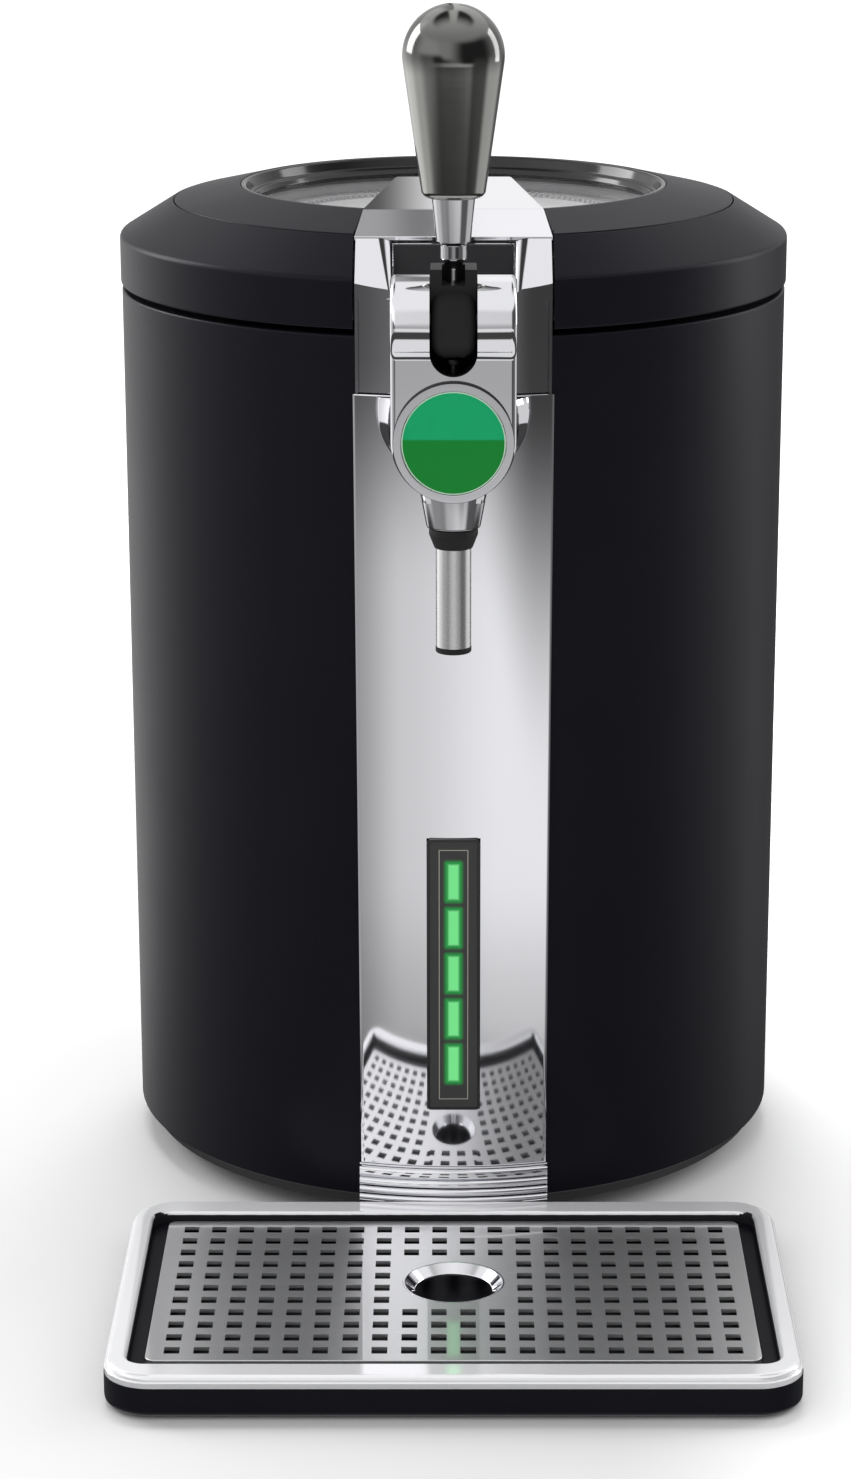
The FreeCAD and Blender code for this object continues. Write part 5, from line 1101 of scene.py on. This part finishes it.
plate_edge = (grille_high[0], grille_low[1], grille_high[1])
plate_levels = ((0, GRILLE_BOTTOM), (0, GRILLE_TOP - GRILLE_EDGE), (GRILLE_EDGE, GRILLE_TOP))
plate = solid("slotted_grille", loops(
    [frame_row(inset, z, GRILLE_CORNER - inset, plate_edge) for inset, z in plate_levels],
    closed_rows=False, caps=True))
hole = [(0, 0), (HOLE_RIM_R, 0), (HOLE_RIM_R, HOLE_CUT_TOP), (0, HOLE_CUT_TOP)]
combine(plate, turned(hole, 0, HOLE_Y, 96))
slot_tree(grille_steel).grow(plate, **{
    "Columns": SLOT_COLUMNS, "Rows": SLOT_ROWS, "Pitch X": SLOT_PITCH_X * MM,
    "Pitch Y": SLOT_PITCH_Y * MM, "Slot W": SLOT_W * MM, "Slot D": SLOT_D * MM,
    "Centre Y": SLOT_CENTRE_Y * MM + AXIS, "Top": GRILLE_TOP * MM, "Hole Y": HOLE_Y * MM + AXIS,
    "Clear X": (HOLE_RIM_R + HOLE_CLEAR_X) * MM, "Clear Y": (HOLE_RIM_R + HOLE_CLEAR_Y) * MM})
fit(ease(plate, 0.35, 2, 50), grille_steel, "grille", "tray_grille", slot="brushed_steel")
dish = solid("drain_dish", turned(rounded(
    [(HOLE_R, HOLE_BOTTOM), (HOLE_R + 0.9, HOLE_BOTTOM), (HOLE_RIM_R + 0.4, GRILLE_BOTTOM),
     (HOLE_RIM_R + 0.4, GRILLE_TOP + 0.05, 0.3), (HOLE_RIM_R - 0.6, GRILLE_TOP + 0.05, 0.8),
     (HOLE_R, HOLE_BOTTOM + 0.9, 0.5)]), 0, HOLE_Y, 128))
fit(shade(dish), chrome, "grille", slot="polished_chrome")


# ---- Floor, light and camera ----
# A pale floor, darker round the cabinet with painted shade, under soft light from all round, a
# large soft lamp at each side and one overhead, and a camera that looks down a little on the tap.
# Places and sizes here are metres.

FLOOR_HALF = 14.0
floor_data = bpy.data.meshes.new("floor")
floor_data.from_pydata([(x * FLOOR_HALF, y * FLOOR_HALF, 0)
                        for x, y in ((-1, -1), (1, -1), (1, 1), (-1, 1))], [], [(0, 1, 2, 3)])
floor = bpy.data.objects.new("floor", floor_data)
scene.collection.objects.link(floor)
pale = Finish("pale_floor", (0.94, 0.94, 0.94), 0.9, Specular_IOR_Level=0.0, Emission_Strength=1.0)
away = pale.node("VectorMath", {"operation": "LENGTH"}, {0: pale.at}, output="Value")
# Painted shade: the floor's colour is darker round the cabinet and to its left, which deepens its
# shadows there. The far floor glows faintly so that it stays white.
floor_painted_shade = (1 - pale.smooth(away, 0.5, 1.8)) * (1 - pale.smooth(pale.axis("X"), 0.05, 0.17))
pale.set("Base Color", pale.blend(floor_painted_shade, (0.96, 0.96, 0.96), (0.67, 0.67, 0.67)))
pale.set("Emission Color", pale.blend(pale.smooth(away, 0.6, 2.4), (0, 0, 0), (0.3, 0.3, 0.3)))
floor_data.materials.append(pale.material)
floor.visible_glossy = False


class Studio(Finish):
    """The world's nodes. Its value depends on the direction that a ray leaves in."""

    def __init__(self, world):
        self.tree = world.node_tree
        self.shader = self.tree.nodes["Background"]
        self.at = self.node("TexCoord", output="Generated")


world = bpy.data.worlds.new("studio")
scene.world = world
world.use_nodes = True
studio = Studio(world)
soft = studio.smooth
across, along, up = studio.axis("X"), studio.axis("Y"), studio.axis("Z")
down = 0 - up

# Below the horizon the room gets lighter from left to right in front, with a dark band lower down.
# A bright wall on the left and a narrower one on the right light the cabinet's edges.
rightward = soft(across, -0.5, 0.42)
low_edge = 0.22 + 0.30 * soft(across, -0.35, -0.05) - 0.47 * soft(across, 0.0, 0.45)
rise = soft(down, 0.172 - 0.007 * soft(across, -0.1, 0.2) + rightward * 0.017,
            0.235 + 0.057 * soft(across, 0.1, 0.5))
front_base = 0.38 + 0.36 * soft(across, -0.56, -0.26) + 0.26 * soft(across, -0.3, 0.3)
front_low = front_base * (low_edge + (1 - low_edge) * rise)
front_low = front_low * (1 - 0.3 * soft(down, 0.305, 0.345))
left_low = (0.42 + 0.40 * soft(along, -0.4, 0.0) + 0.45 * soft(along, 0.15, 0.5)
            - 0.6 * soft(along, 0.75, 1.0))
right_low = 0.15 + 0.6 * soft(along, -0.2, 0.1) - 0.6 * soft(along, 0.6, 0.85)
on_right = soft(across, -0.1, 0.1)
side_low = left_low * (1 - on_right) + right_low * on_right
beside = soft(along, -0.78, -0.6)
low = front_low * (1 - beside) + side_low * beside
in_band = soft(down, 0.344, 0.366)
low = low * (1 - in_band) + in_band * (0.06 + 0.8 * soft(down, 0.61, 0.67))

# Above it, the front fades from a white left to a dark right, and a dark card and a white one stand
# behind. The ceiling is bright, apart from a dark streak on each side of its middle at the back.
front_high = 1.4 - 0.25 * soft(across, -0.7, -0.4) - 1.07 * soft(across, -0.25, 0.4)
back_high = (0.6 - 0.5 * soft(across, -0.05, -0.035) + 0.9 * soft(across, -0.022, 0.004)
             - 0.4 * soft(across, 0.04, 0.06))
slope_high = 0.42 - 0.2 * soft(across, -0.021, -0.009) + 0.9 * soft(across, -0.006, 0.006)
raised = soft(up, 0.42, 0.55)
aside = soft(abs(across), 0.05, 0.25)
slope_high = slope_high * (1 - aside) + aside
back_high = back_high * (1 - raised) + slope_high * raised
streak = soft(abs(across), 0.06, 0.14) - soft(abs(across), 0.50, 0.62)
overhead = 1 - 0.95 * streak
back_ceiling = soft(up, 0.78, 0.88)
back_high = back_high * (1 - back_ceiling) + overhead * back_ceiling
front_ceiling = soft(up, 0.45, 0.65)
front_high = front_high * (1 - front_ceiling) + front_ceiling
behind = soft(along, -0.3, 0.3)
high = front_high * (1 - behind) + back_high * behind
high = high + 0.5 * (1 - soft(across, -0.7, -0.5)) * soft(along, 0.2, 0.4)
above = soft(up - 0.12 * (1 - soft(across, -0.55, -0.3)), -0.165, 0.06)
room = low * (1 - above) + high * above

# Only gloss reflects the room. All other light from it is plain, and the background is white.
PLAIN = 0.86
glossy = studio.node("LightPath", output="Is Glossy Ray")
straight = studio.node("LightPath", output="Is Camera Ray")
lit = (room * glossy + PLAIN * (1 - glossy)).maths("MAXIMUM", straight)
studio.set("Color", studio.node("CombineXYZ", inputs=dict.fromkeys("XYZ", lit)))


def soft_lamp(name, place, aim, size, power):
    """A large soft lamp at a place, turned towards a point."""
    data = bpy.data.lights.new(name, "AREA")
    data.shape = "RECTANGLE"
    data.size, data.size_y = size
    data.energy = power
    made = bpy.data.objects.new(name, data)
    made.location = place
    made.rotation_euler = (Vector(aim) - Vector(place)).to_track_quat("-Z", "Y").to_euler()
    scene.collection.objects.link(made)
    return made


CENTRE = (0.0, AXIS, 0.22)
soft_lamp("left_softbox", (-1.45, 0.75, 0.95), CENTRE, (0.8, 1.0), 15.0)
soft_lamp("right_softbox", (1.7, 0.75, 0.8), CENTRE, (0.6, 1.4), 10.0)
soft_lamp("overhead_softbox", (-0.2, 0.9, 2.0), CENTRE, (1.2, 0.7), 30.0).visible_glossy = False

CAMERA_BACK = 1.56907
CAMERA_HEIGHT = 0.61548
CAMERA_PITCH = 16.736
CAMERA_SHIFT = (-0.0186, 0.0414)
LENS, SENSOR = 91.216, 36.0
camera_data = bpy.data.cameras.new("camera")
camera_data.lens = LENS
camera_data.sensor_width = SENSOR
camera_data.shift_x, camera_data.shift_y = CAMERA_SHIFT
camera = bpy.data.objects.new("camera", camera_data)
camera.location = (0.0, AXIS - CAMERA_BACK, CAMERA_HEIGHT)
camera.rotation_euler = (math.radians(90 - CAMERA_PITCH), 0.0, 0.0)
scene.collection.objects.link(camera)
scene.camera = camera

scene.view_settings.view_transform = "Standard"
